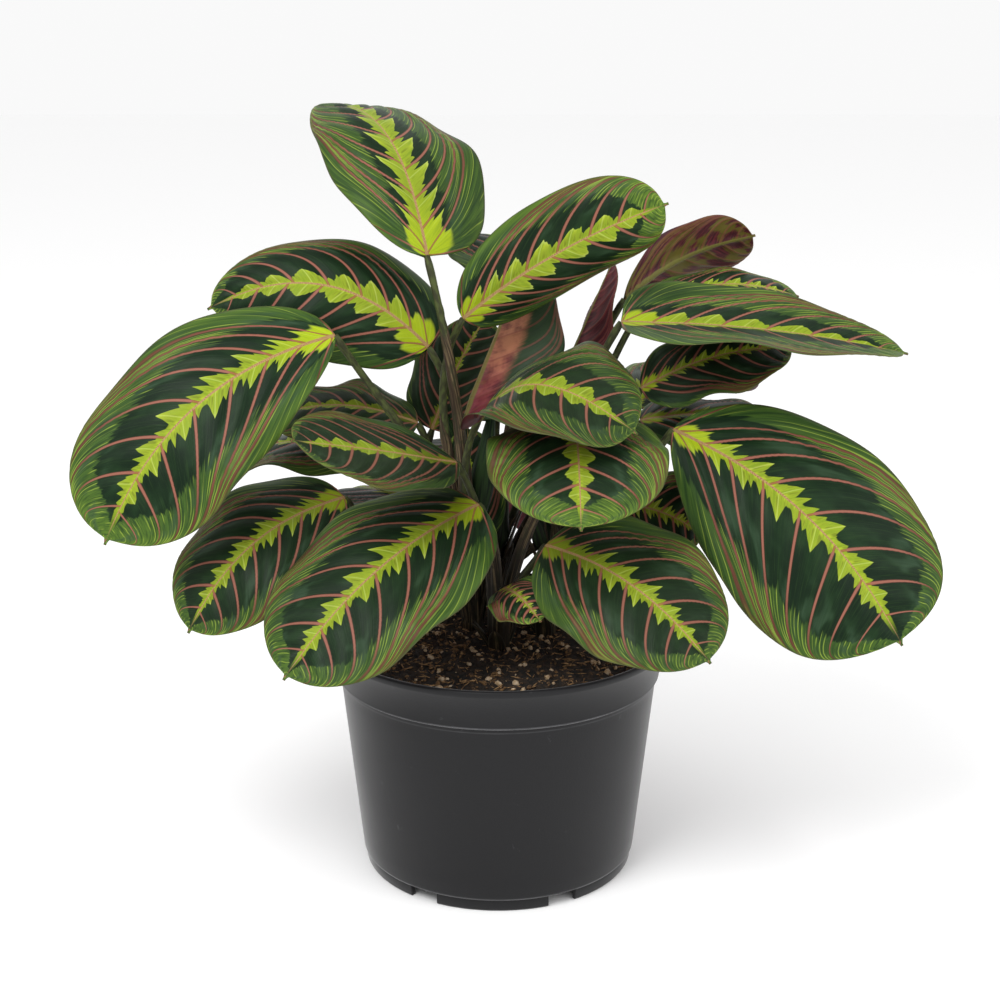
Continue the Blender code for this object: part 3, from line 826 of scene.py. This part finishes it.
def upper_ground(graph, at):
    """The blade's ground: near black between the veins, green towards the margin and tip."""
    ends = (at.along + at.bright * 0.09).step(0.86, 1.04)
    limit = at.dark + (at.streaks - 0.5) * 0.36 + (at.patches - 0.5) * 0.34 - ends * 0.70
    glow = graph.most(at.share.step(0.78, 0.98) * at.patches.step(0.35, 0.65),
                      ends * at.streaks.step(0.30, 0.60))
    green = graph.paint(
        SHADE_GREEN,
        (at.streaks.step(0.38, 0.62), MID_GREEN),
        (at.fine.step(0.50, 0.72) * at.bright.line(0.0, 1.0, 0.25, 0.75), LIGHT_GREEN),
        (glow * at.bright.line(0.0, 1.0, 0.12, 0.85), LIGHT_GREEN),
        (light_lines(graph, at) * 0.85, STREAK_LIME))
    black = graph.paint(DARK_GREEN, (at.patches.step(0.38, 0.72), DEEP_GREEN),
                        (at.fine.step(0.48, 0.75) * 0.5, SHADE_GREEN))
    sheen = at.patches.step(0.50, 0.66) * at.share.step(0.30, 0.50) * at.share.step(0.95, 0.75)
    return graph.paint(
        green,
        ((limit - at.share).step(-0.02, 0.03), black),
        (sheen * at.streaks.line(0.3, 0.7, 0.2, 0.8), SHEEN_GREEN),
        # on the leaves marked dull: partly a duller tone, partly painted shade on leaves that lie in
        # shadow
        (at.dull * 0.55, DULL_AND_SHADE_GREEN))


def upper_lime(graph, at):
    """The toothed lime band along the midrib: where it lies, and its colour."""
    edge, main_at = lime_edge(graph, at)
    inside = edge - at.share
    soft = at.along.line(0.02, 0.16, 0.09, 0.008)
    lime = (inside / soft).step(-0.8, 1.0) * at.along.step(0.97, 0.89)
    smudge = at.streaks.step(0.46, 0.62) * at.share.step(0.24, 0.08) * at.share.step(0.02, 0.06)
    tip = inside.step(0.05, 0.0) * at.share.step(0.18, 0.30)
    off_minor = abs(at.within - main_at) / graph.most(at.rate, 0.01)
    # painted shade on the band, strongest at its base, together with a duller tone, on the leaves marked
    # dull
    dull_and_shaded = at.dull * (at.along.step(0.45, 0.15) + 0.35)
    return lime, graph.paint(
        LIME_DEEP,
        (at.streaks.step(0.35, 0.65), LIME),
        (smudge * 0.65, LIME_OLIVE),
        (tip * 0.8, LIME_PALE),
        (off_minor.step(0.30, 0.12) * 0.45, LIME_PALE),
        (at.along.step(0.24, 0.04) * at.streaks.line(0.3, 0.7, 0.5, 1.0), LIME_BASE),
        (at.along.step(0.84, 0.96), LIME_DEEP),
        (graph.least(dull_and_shaded, 1.0), LIME_OLIVE))


def upper_veins(graph, at, lime, colour):
    """Draws the side veins, thin and brown in the lime band, the midrib and the margin."""
    wide = at.share.line(0.0, 1.0, 0.74, 0.36) - lime * 0.26
    wide = wide * at.along.step(0.97, 0.80, 0.35, 1.0)
    wide = wide * at.veins.line(VEIN_START - 2.5, VEIN_START + 0.5, 0.45, 1.0)
    off = at.off_vein / wide
    vein = off.step(1.15, 0.85) * at.share.step(1.0, 0.93, 0.3, 1.0)
    vein = vein * at.veins.step(VEIN_START - 2.4, VEIN_START - 2.0)
    # the veins are pink in the middle and brown at the edges and near the margin: partly their own colour,
    # partly a painted highlight along the middle and painted shade at the sunken edges
    pink_core_and_highlight = off.step(0.95, 0.45) * at.share.step(1.0, 0.45)
    midrib = (at.out / at.along.line(0.0, 1.0, 0.66, 0.18)).step(1.2, 0.8)
    return vein, graph.paint(
        colour,
        (vein * at.dull.line(0.0, 1.0, 0.92, 0.6),
         graph.paint(VEIN_BROWN, (pink_core_and_highlight, VEIN_PINK), (lime * 0.6, VEIN_IN_LIME))),
        (midrib * at.along.step(1.0, 0.9), graph.mix(at.fine.step(0.4, 0.6), MIDRIB, MIDRIB_PALE)),
        (at.share.step(0.975, 0.995) * 0.6, MARGIN_TAN))


def leaf_top_material():
    graph = Graph("leaf_upper_side")
    at = blade_coordinates(graph)
    at.dark, at.band = graph.uv("reach")
    at.saw, at.blunt = graph.uv("teeth")
    at.dull, at.bright = graph.uv("tone")
    at.streaks = vein_noise(graph, at, 11.0, 2.2, 3.0, 0.6)
    at.fine = vein_noise(graph, at, 34.0, 3.0)
    at.patches = vein_noise(graph, at, 1.6, 3.0)
    lime, lime_tone = upper_lime(graph, at)
    colour = graph.mix(lime, upper_ground(graph, at), lime_tone)
    vein, colour = upper_veins(graph, at, lime, colour)
    height = at.fine * 0.5 + at.streaks * 0.6 + vein * 0.5
    rough = at.streaks.line(0.3, 0.7, 0.34, 0.44) + lime * 0.06
    return graph.finish(Base_Color=colour, Roughness=rough, Normal=graph.bump(height, 0.0003, 0.35),
                        Specular_IOR_Level=0.09)


def leaf_under_material():
    """Maroon, on some leaves with olive patches or a pink strip and a green outer part."""
    graph = Graph("leaf_under_side")
    at = blade_coordinates(graph)
    olive_share, green_from = graph.uv("reach")
    pink = graph.uv("tone")[0]
    streaks = vein_noise(graph, at, 9.0, 2.2, 3.0, 0.6)
    patches = vein_noise(graph, at, 0.9, 2.5)
    mottle = abs(at.within - 0.5) * 0.40 + streaks * 0.30 + patches * 1.10
    cloud = graph.noise(graph.vector(at.share * 3.0, at.along * 7.0, at.seed), 1.0, 3.0, 0.6)
    torn = at.share + (streaks - 0.5) * 0.2
    vein = at.off_vein.step(0.50, 0.20)
    midrib = (at.out / at.along.line(0.0, 1.0, 1.3, 0.4)).step(1.2, 0.8)
    colour = graph.paint(
        MAROON_DEEP,
        ((streaks + patches * 0.5).step(0.62, 0.90), MAROON),
        ((mottle + olive_share).step(1.25, 1.42) * 0.85, OLIVE),
        (pink * (cloud + streaks * 0.3).step(0.46, 0.78, 0.2, 1.0),
         graph.mix((at.along + cloud * 0.4).step(0.25, 0.85), STRIP_CRIMSON, STRIP_PINK)),
        ((torn - green_from).step(-0.08, 0.10), graph.mix(streaks, DARK_GREEN, SHADE_GREEN)),
        (vein * 0.45, VEIN_UNDER),
        (midrib * 0.8, OLIVE_PALE))
    return graph.finish(Base_Color=colour, Roughness=streaks.line(0.3, 0.7, 0.42, 0.55),
                        Normal=graph.bump(streaks + vein, 0.0003, 0.4), Specular_IOR_Level=0.2)


def stalk_material():
    """Stalks, sheaths and rolled leaves, told apart by what the map adds to the turn."""
    graph = Graph("leaf_stalk_skin")
    length, turn = graph.uv("stalk")
    lines = graph.noise(graph.vector(length * 0.05, turn * 22.0), 1.0, 2.0)
    spots = graph.noise(graph.vector(length * 0.22, turn * 5.0), 1.0, 3.0)
    husk = graph.paint(SHEATH_BROWN, (lines.step(0.46, 0.68), SHEATH_TAN),
                       (spots.step(0.50, 0.64) * 0.7, STALK_OLIVE))
    rolled = graph.mix(lines.step(0.40, 0.60), DARK_GREEN, SHADE_GREEN)
    to_husk = SHEATH_MARK / 2
    to_rolled = (SHEATH_MARK + ROLLED_MARK) / 2
    colour = graph.paint(
        STALK_OLIVE,
        (spots.step(0.40, 0.62), STALK_GREEN),
        (turn.step(to_husk - 0.1, to_husk + 0.1), husk),
        (turn.step(to_rolled - 0.1, to_rolled + 0.1), rolled),
        # painted shade: the stalks darken towards the soil, where the leaves shade them
        (graph.height().step(165.0, 115.0) * lines.step(0.62, 0.48, 0.45, 0.8), STALK_PAINTED_SHADE))
    normal = graph.bump(lines + spots * 0.4, 0.0004, 0.5)
    return graph.finish(Base_Color=colour, Roughness=0.55, Normal=normal, Specular_IOR_Level=0.15)


def soil_material():
    graph = Graph("potting_soil")
    crumbs = graph.noise(graph.where(), 420.0, 4.0, 0.65)
    clods = graph.noise(graph.where(), 110.0, 3.0)
    colour = graph.paint(SOIL_BLACK, (crumbs.step(0.40, 0.66), SOIL_BROWN),
                         (crumbs.step(0.64, 0.72) * clods.step(0.45, 0.6), SOIL_TAN))
    normal = graph.bump(crumbs + clods, 0.0012, 1.0)
    return graph.finish(Base_Color=colour, Roughness=0.92, Normal=normal)


def litter_material(name, dull, light):
    """Speckled between two colours, for what lies on the soil."""
    graph = Graph(name)
    speckle = graph.noise(graph.where(), 900.0, 3.0)
    colour = graph.mix(speckle.step(0.35, 0.65), dull, light)
    return graph.finish(Base_Color=colour, Roughness=0.9, Normal=graph.bump(speckle, 0.0004, 0.8))


def pot_material():
    """Dark plastic with a few light scuffs, and a painted highlight along the band's and the wall's lower
    edges.
    """
    graph = Graph("pot_plastic")
    grain = graph.noise(graph.where(), 1500.0, 2.0)
    cloud = graph.noise(graph.where(), 18.0, 3.0)
    scuffs = graph.noise(graph.where(), 160.0, 4.0, 0.7)
    height = graph.height()
    # painted highlight: thin light lines along the band's foot, just below it and along the wall's foot,
    # broken up by the scuff noise
    edge_highlight = []
    for level, wide, share in ((BAND_FOOT + 0.35, 0.55, 0.9), (BAND_FOOT - 1.7, 0.35, 0.35),
                               (FOOT_HEIGHT + 0.1, 0.5, 0.9)):
        edge_highlight.append(abs(height - level).step(wide, 0.5 * wide) * share)
    edge_highlight = graph.most(*edge_highlight) * scuffs.line(0.3, 0.65, 0.45, 1.0)
    colour = graph.paint(POT_DARK, (cloud, POT_GREY), (edge_highlight, POT_SCUFF_AND_HIGHLIGHT),
                         (scuffs.step(0.66, 0.74) * 0.25, POT_SCUFF_AND_HIGHLIGHT))
    return graph.finish(Base_Color=colour, Roughness=cloud.line(0.3, 0.7, 0.44, 0.54),
                        Normal=graph.bump(grain, 0.0001, 0.35), Specular_IOR_Level=0.24,
                        Sheen_Weight=0.38, Sheen_Roughness=0.35)


# --- shoots ---

def stalk_route(foot, row, count):
    """Points of a leaf stalk, from inside its stem up to its blade's base."""
    base, tip = np.array(row["base"], float), np.array(row["tip"], float)
    heading = unit(np.array([tip[0] - base[0], tip[1] - base[1], 0]))
    outward = unit(np.array([base[0] - foot[0], base[1] - foot[1], 0]))
    start = np.array([foot[0], foot[1], STALK_FOOT]) + STALK_SPREAD * outward
    arrival = unit(heading * STALK_LEAN + np.array([0, 0, 1]))
    reach = np.linalg.norm(base - start)
    rise = start + np.array([0, 0, reach * STALK_RISE])
    lean = base - arrival * reach * STALK_CURL
    t = np.linspace(0, 1, count)[:, None]
    return (1 - t) ** 3 * start + 3 * t * (1 - t) ** 2 * rise + 3 * t ** 2 * (1 - t) * lean + t ** 3 * base


def tube(points, radii, sides, flat=1.0):
    """Rings around a line of points, closed at both ends: points, faces, and for each face
    corner the distance along the line and the turn around it."""
    ahead = unit(np.gradient(points, axis=0))
    side = unit(np.cross(ahead, np.array([0.0, 0.0, 1.0]) + 1e-3))
    up = np.cross(side, ahead)
    turns = np.linspace(0, 2 * np.pi, sides, endpoint=False)[None, :, None]
    ring = np.cos(turns) * side[:, None] + flat * np.sin(turns) * up[:, None]
    rings = points[:, None] + ring * radii[:, None, None]
    count = len(points)
    length = np.concatenate([[0], np.cumsum(np.linalg.norm(np.diff(points, axis=0), axis=1))])
    i, j = np.meshgrid(np.arange(count - 1), np.arange(sides), indexing="ij")
    span = np.stack([length[i], length[i], length[i + 1], length[i + 1]], -1).reshape(-1, 4)
    around = np.stack([j, j + 1, j + 1, j], -1).reshape(-1, 4) / sides
    corners = list(np.stack([span, around], -1).reshape(-1, 2))
    corners += [(0.0, 0.0)] * sides + [(length[-1], 0.0)] * sides
    caps = [list(range(sides))[::-1], [(count - 1) * sides + k for k in range(sides)]]
    return rings.reshape(-1, 3), ring_faces(count, sides).tolist() + caps, corners


def stalk_radii(count):
    """Tapers towards the blade, with a thicker joint just under it."""
    share = np.linspace(0, 1, count)
    radii = STALK_FOOT_RADIUS + (STALK_TIP_RADIUS - STALK_FOOT_RADIUS) * share
    return radii + JOINT_SWELL * (smooth(0.91, 0.94, share) - 1.5 * smooth(0.975, 1.0, share))


def sheath_of(line, radii, number):
    """The sheath around the lower part of a stalk. Its end tapers and stands off the stalk."""
    last = int(len(line) * SHEATH_ENDS[number % len(SHEATH_ENDS)])
    share = np.linspace(0, 1, last)
    husk = radii[:last] + SHEATH_THICK * (1 - 0.6 * share)
    husk = husk * (1 - 0.88 * smooth(0.86, 1.0, share))
    ahead = unit(np.gradient(line, axis=0))[:last]
    turn = 2.4 * number
    aside = unit(np.cross(ahead, [math.cos(turn), math.sin(turn), 0.3]))
    off = (radii[:last] + 0.3) * smooth(0.80, 1.0, share)
    return line[:last] + off[:, None] * aside, husk


def husks_of(foot, rng, count, heights, spread):
    """Old leaf sheaths around a shoot's foot: lance shaped, leaning outwards."""
    for _ in range(count):
        turn = rng.uniform(0, 2 * np.pi)
        lean = rng.uniform(0.15, 1.0) * spread
        high = rng.uniform(*heights)
        share = np.linspace(0, 1, 14)
        away = 2.5 + lean * share ** 1.6
        line = np.stack([foot[0] + away * math.sin(turn), foot[1] - away * math.cos(turn),
                         HUSK_FOOT + high * share], -1)
        wide = rng.uniform(2.0, 3.4) * np.sin(np.pi * np.clip(share * 0.9 + 0.1, 0, 1)) ** 0.6
        yield line, np.maximum(wide, 0.15)


def young_leaf(foot, tip, thick):
    """A young leaf, still rolled up: a thin stalk below and a spindle with a point above."""
    share = np.linspace(0, 1, 30)
    start = np.array([foot[0], foot[1], STALK_FOOT])
    end = np.array(tip, float)
    bend = start + [0, 0, 0.5 * (end[2] - start[2])]
    line = ((1 - share) ** 2)[:, None] * start + (2 * share * (1 - share))[:, None] * bend
    line = line + (share ** 2)[:, None] * end
    spindle = thick * smooth(0.40, 0.68, share) * np.sqrt(np.clip((1 - share) / 0.32, 0.0, 1))
    return line, np.maximum(1.3 * (1 - smooth(0.5, 0.9, share)) + spindle, 0.12)


def make_shoot(name, foot):
    """A shoot's stem, stalks, sheaths, rolled leaves and old sheaths, as one piece."""
    points, faces, corners = [], [], []
    rng = np.random.default_rng(len(name) * 7)

    def add(line, radii, sides, start, mark=0.0, flat=1.0):
        tube_points, tube_faces, tube_corners = tube(line, radii, sides, flat)
        before = sum(map(len, points))
        faces.extend([before + k for k in face] for face in tube_faces)
        points.append(tube_points)
        corners.extend((u + start, v + mark) for u, v in tube_corners)

    heights = np.linspace(STEM_FOOT, STEM_TOP, len(STEM_RADII))
    add(np.array([[foot[0], foot[1], z] for z in heights]), np.array(STEM_RADII), 20, 0, SHEATH_MARK)
    for number, row in enumerate(LEAVES.values()):
        if row["shoot"] != name:
            continue
        line = stalk_route(foot, row, 40)
        radii = stalk_radii(len(line))
        add(line, radii, 12, LENGTH_SHIFT * number)
        add(*sheath_of(line, radii, number), 12, LENGTH_SHIFT * number, SHEATH_MARK)
    for tip, thick in YOUNG_LEAVES.get(name, ()):
        add(*young_leaf(foot, tip, thick), 14, rng.uniform(0, LENGTH_SPAN), ROLLED_MARK)
    for line, radii in husks_of(foot, rng, *HUSKS[name]):
        add(line, radii, 12, rng.uniform(0, LENGTH_SPAN), SHEATH_MARK, 0.3)
    made = new_mesh(name + "_stalks", place(np.concatenate(points)), faces, {"stalk": corners},
                    None, [STALK_SKIN])
    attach(made, "root")
    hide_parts(name)


# --- pot ---

def pot_profile():
    """The pot's outline as (radius, height), from its floor over the lip and down again."""
    taper = (WALL_TOP_RADIUS - WALL_FOOT_RADIUS) / (BAND_FOOT - FOOT_HEIGHT)
    floor_radius = WALL_FOOT_RADIUS + taper * (FLOOR_TOP - FOOT_HEIGHT) - WALL
    inner = RIM_RADIUS - LIP_WIDTH
    inside = [(0, FLOOR_TOP), (floor_radius, FLOOR_TOP), (WALL_TOP_RADIUS - WALL, BAND_FOOT),
              (BAND_FOOT_RADIUS - WALL, BAND_FOOT + 2 * WALL), (inner, POT_HEIGHT - 3)]
    middle = (inner + RIM_RADIUS) / 2
    lip = [(middle + LIP_WIDTH / 2 * math.cos(turn),
            POT_HEIGHT - LIP_ROUNDING + LIP_ROUNDING * math.sin(turn))
           for turn in np.radians(np.linspace(180, 0, 9))]
    band = [(RIM_RADIUS - 0.1, POT_HEIGHT - 2.2), (RIM_RADIUS - 0.45, POT_HEIGHT - 2.6),
            (BAND_FOOT_RADIUS + 0.25, BAND_FOOT + 1.2), (BAND_FOOT_RADIUS + 0.35, BAND_FOOT + 0.8),
            (BAND_FOOT_RADIUS + 0.30, BAND_FOOT + 0.3), (BAND_FOOT_RADIUS - 0.10, BAND_FOOT),
            (WALL_TOP_RADIUS + 0.1, BAND_FOOT - 0.15), (WALL_TOP_RADIUS - 0.1, BAND_FOOT - 0.8)]
    wall = [(WALL_TOP_RADIUS + (WALL_FOOT_RADIUS - WALL_TOP_RADIUS) * t,
             BAND_FOOT + (FOOT_HEIGHT - BAND_FOOT) * t) for t in np.linspace(0.06, 0.985, 12)]
    foot = [(WALL_FOOT_RADIUS - 0.1, FOOT_HEIGHT + 0.3), (WALL_FOOT_RADIUS - 0.5, FOOT_HEIGHT - 0.15),
            (FOOT_RADIUS, FOOT_HEIGHT - 0.4), (FOOT_RADIUS - 0.2, 0.8), (FOOT_RADIUS - 0.6, 0.2),
            (FOOT_RADIUS - 1.0, 0), (FOOT_RADIUS - FOOT_WIDTH, 0),
            (FOOT_RADIUS - FOOT_WIDTH, FLOOR_UNDERSIDE), (0, FLOOR_UNDERSIDE)]
    return np.array(inside + lip + band + wall + foot)


def cutter(name, build, bearing, distance):
    """A helper shape that is cut out of the pot, turned to a bearing."""
    mesh = bpy.data.meshes.new(name)
    work = bmesh.new()
    build(work)
    work.to_mesh(mesh)
    work.free()
    made = bpy.data.objects.new(name, mesh)
    turn = math.radians(bearing)
    made.location = Vector((distance * math.sin(turn), -distance * math.cos(turn), 0)) * MM
    made.rotation_euler = (0, 0, turn)
    return made


def notch(work):
    wide = 2 * FOOT_RADIUS * math.sin(math.radians(NOTCH_ANGLE / 2))
    bmesh.ops.create_cube(work, size=1)
    bmesh.ops.scale(work, vec=Vector((wide, 3 * FOOT_WIDTH, 2 * FOOT_HEIGHT)) * MM, verts=work.verts)


def drain(work):
    bmesh.ops.create_cone(work, cap_ends=True, segments=24, radius1=DRAIN_RADIUS * MM,
                          radius2=DRAIN_RADIUS * MM, depth=4 * FLOOR_TOP * MM)


def cut_foot_and_floor(pot):
    """Cuts the notches out of the foot ring and the drain holes out of the floor."""
    helpers = bpy.data.collections.new("pot cutters")
    for k in range(NOTCHES):
        turn = 360 * k / NOTCHES
        helpers.objects.link(cutter("notch", notch, FIRST_NOTCH + turn, FOOT_RADIUS))
        helpers.objects.link(cutter("drain", drain, FIRST_DRAIN + turn, DRAIN_RING))
    cut = pot.modifiers.new("cut", "BOOLEAN")
    cut.operation = "DIFFERENCE"
    cut.operand_type = "COLLECTION"
    cut.collection = helpers
    cut.solver = "EXACT"
    bpy.context.view_layer.update()
    done = bpy.data.meshes.new_from_object(pot.evaluated_get(bpy.context.evaluated_depsgraph_get()))
    pot.modifiers.clear()
    pot.data = done
    for helper in list(helpers.objects):
        bpy.data.objects.remove(helper)
    bpy.data.collections.remove(helpers)


def make_pot():
    """The turned pot with its lip, band, notched foot ring and drained floor."""
    profile = pot_profile()
    angles = np.linspace(0, 2 * np.pi, POT_STEPS, endpoint=False)
    ring = profile[1:-1]
    x = ring[:, None, 0] * np.cos(angles)
    y = ring[:, None, 0] * np.sin(angles)
    z = ring[:, None, 1] + 0 * angles
    points, faces = closed_rings(np.stack([x, y, z], -1), [0, 0, profile[0, 1]], [0, 0, profile[-1, 1]])
    pot = new_mesh("pot_shell", points * MM, faces, materials=[pot_material()])
    cut_foot_and_floor(pot)
    pot.data.transform(Matrix.Translation(POT_AXIS))
    pot.data.shade_smooth()
    pot.data.set_sharp_from_angle(angle=math.radians(SHARP_EDGE))
    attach(pot, "root")
    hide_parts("pot")


# --- soil ---

def soil_heights(rng, x, y, share):
    """The soil's surface: a low mound with waves and crumbs, level at the pot's wall."""
    z = SOIL_EDGE + SOIL_RISE * (1 - share ** 2) + 0 * x
    for size, lift in SOIL_WAVES:
        for _ in range(WAVES_OF_A_LENGTH):
            heading = rng.uniform(0, 2 * np.pi)
            phase = rng.uniform(0, 2 * np.pi)
            ahead = x * np.cos(heading) + y * np.sin(heading)
            wave = np.sin(ahead * 2 * np.pi / size / rng.uniform(0.7, 1.4) + phase)
            z = z + lift / WAVES_OF_A_LENGTH * wave * (1 - smooth(0.9, 1.0, share))
    crumbs = rng.normal(0, CRUMB, z.shape)
    return z + crumbs * (1 - smooth(0.93, 1.0, share)) * smooth(0.0, 0.05, share)


def make_soil():
    """The soil's crumbly top, on the sides and the floor of the solid."""
    share = np.linspace(0, 1, SOIL_RINGS)[:, None]
    angle = np.linspace(0, 2 * np.pi, SOIL_STEPS, endpoint=False)[None, :]
    x = SOIL_RADIUS * share * np.sin(angle)
    y = -SOIL_RADIUS * share * np.cos(angle)
    top = np.stack([x, y, soil_heights(np.random.default_rng(7), x, y, share)], -1)
    edge = np.stack([np.sin(angle), -np.cos(angle), 0 * angle], -1)
    side = edge * (WALL_TOP_RADIUS - 2 * WALL) + [0, 0, BAND_FOOT - 1]
    foot = edge * (WALL_FOOT_RADIUS - 2 * WALL) + [0, 0, SOIL_FLOOR]
    points, faces = closed_rings(np.concatenate([top[1:], side, foot]),
                                 [0, 0, SOIL_EDGE + SOIL_RISE], [0, 0, SOIL_FLOOR])
    made = new_mesh("soil_crumb", place(points), faces, materials=[soil_material()])
    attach(made, "root")
    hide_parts("soil")


def scatter(name, count, sizes, squash, seed, material):
    """Rough little lumps lying on the soil, squashed to shares of their length."""
    rng = np.random.default_rng(seed)
    work = bmesh.new()
    bmesh.ops.create_icosphere(work, subdivisions=2, radius=1)
    ball = np.array([v.co[:] for v in work.verts])
    tris = np.array([[v.index for v in f.verts] for f in work.faces])
    work.free()
    points, faces = [], []
    for k in range(count):
        share = np.sqrt(rng.uniform(0, 1))
        turn = rng.uniform(0, 2 * np.pi)
        size = rng.uniform(*sizes) * rng.uniform(0.6, 1.0)
        lump = ball * (1 + rng.normal(0, 0.13, (len(ball), 1))) * size
        lump = lump * np.array([1.0, rng.uniform(*squash), rng.uniform(*squash)])
        a, b, c = rng.uniform(0, 2 * np.pi), rng.uniform(-0.4, 0.4), rng.uniform(-0.4, 0.4)
        spin = Matrix.Rotation(a, 3, "Z") @ Matrix.Rotation(b, 3, "X") @ Matrix.Rotation(c, 3, "Y")
        lump = lump @ np.array(spin).T
        reach = (SOIL_RADIUS - size) * share
        z = SOIL_EDGE + SOIL_RISE * (1 - (reach / SOIL_RADIUS) ** 2) + 0.15 * size
        points.append(lump + [reach * np.sin(turn), -reach * np.cos(turn), z])
        faces.append(tris + k * len(ball))
    made = new_mesh(name, place(np.concatenate(points)), np.concatenate(faces).tolist(),
                    materials=[material])
    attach(made, "root")


# --- stage ---

def area_light(name, bearing, distance, height, size, power):
    """A round lamp, turned to the plant. Its size is in metres and its power in watts."""
    light = bpy.data.lights.new(name, "AREA")
    light.shape = "DISK"
    light.size = size
    light.energy = power
    made = bpy.data.objects.new(name, light)
    bpy.context.scene.collection.objects.link(made)
    turn = math.radians(bearing)
    made.location = place([distance * math.sin(turn), -distance * math.cos(turn), height])
    aim = Vector(place([0, 0, LIGHT_TARGET])) - made.location
    made.rotation_euler = aim.to_track_quat("-Z", "Y").to_euler()


def make_stage():
    """A pale floor, an even white sky and two soft lamps."""
    corners = np.array([(-1, -1, 0), (1, -1, 0), (1, 1, 0), (-1, 1, 0)])
    paint = Graph("studio_floor").finish(Base_Color=FLOOR_WHITE, Roughness=0.9)
    floor = new_mesh("studio_floor", place(corners * FLOOR_REACH), [(0, 1, 2, 3)], materials=[paint])
    world = bpy.data.worlds.new("studio_light")
    world.use_nodes = True
    sky = world.node_tree.nodes["Background"]
    sky.inputs["Color"].default_value = (1, 1, 1, 1)
    sky.inputs["Strength"].default_value = WORLD_LIGHT
    bpy.context.scene.world = world
    bpy.context.scene.view_settings.view_transform = "Standard"
    area_light("key_light", bearing=-35, distance=900, height=1100, size=0.7, power=10)
    area_light("fill_light", bearing=55, distance=1000, height=700, size=0.9, power=4)


def make_camera():
    lens = bpy.data.cameras.new("camera")
    lens.lens = LENS
    lens.sensor_width = SENSOR
    camera = bpy.data.objects.new("camera", lens)
    bpy.context.scene.collection.objects.link(camera)
    tilt = math.radians(CAMERA_TILT)
    camera.location = place([CAMERA_ASIDE, -CAMERA_DISTANCE * math.cos(tilt),
                             CAMERA_HEIGHT + CAMERA_DISTANCE * math.sin(tilt)])
    camera.rotation_euler = (math.pi / 2 - tilt, 0, 0)
    bpy.context.scene.camera = camera


LEAF_MATERIALS = [leaf_top_material(), leaf_under_material()]
STALK_SKIN = stalk_material()

make_camera()
make_stage()
make_pot()
for number, (leaf_name, leaf_row) in enumerate(LEAVES.items()):
    make_leaf(leaf_name, leaf_row, number)
for shoot_name, shoot_foot in SHOOTS.items():
    make_shoot(shoot_name, shoot_foot)
make_soil()
scatter("soil_bark", 900, (0.5, 1.6), (0.35, 0.8), 3,
        litter_material("bark_bits", BARK_DARK, BARK_BROWN))
scatter("soil_grit", 320, (0.4, 1.6), (0.6, 1.0), 5,
        litter_material("pale_grit", GRIT_TAN, GRIT_PALE))
scatter("soil_fibres", 900, (1.2, 3.2), (0.07, 0.13), 11,
        litter_material("coir_fibres", FIBRE_BROWN, FIBRE_TAN))
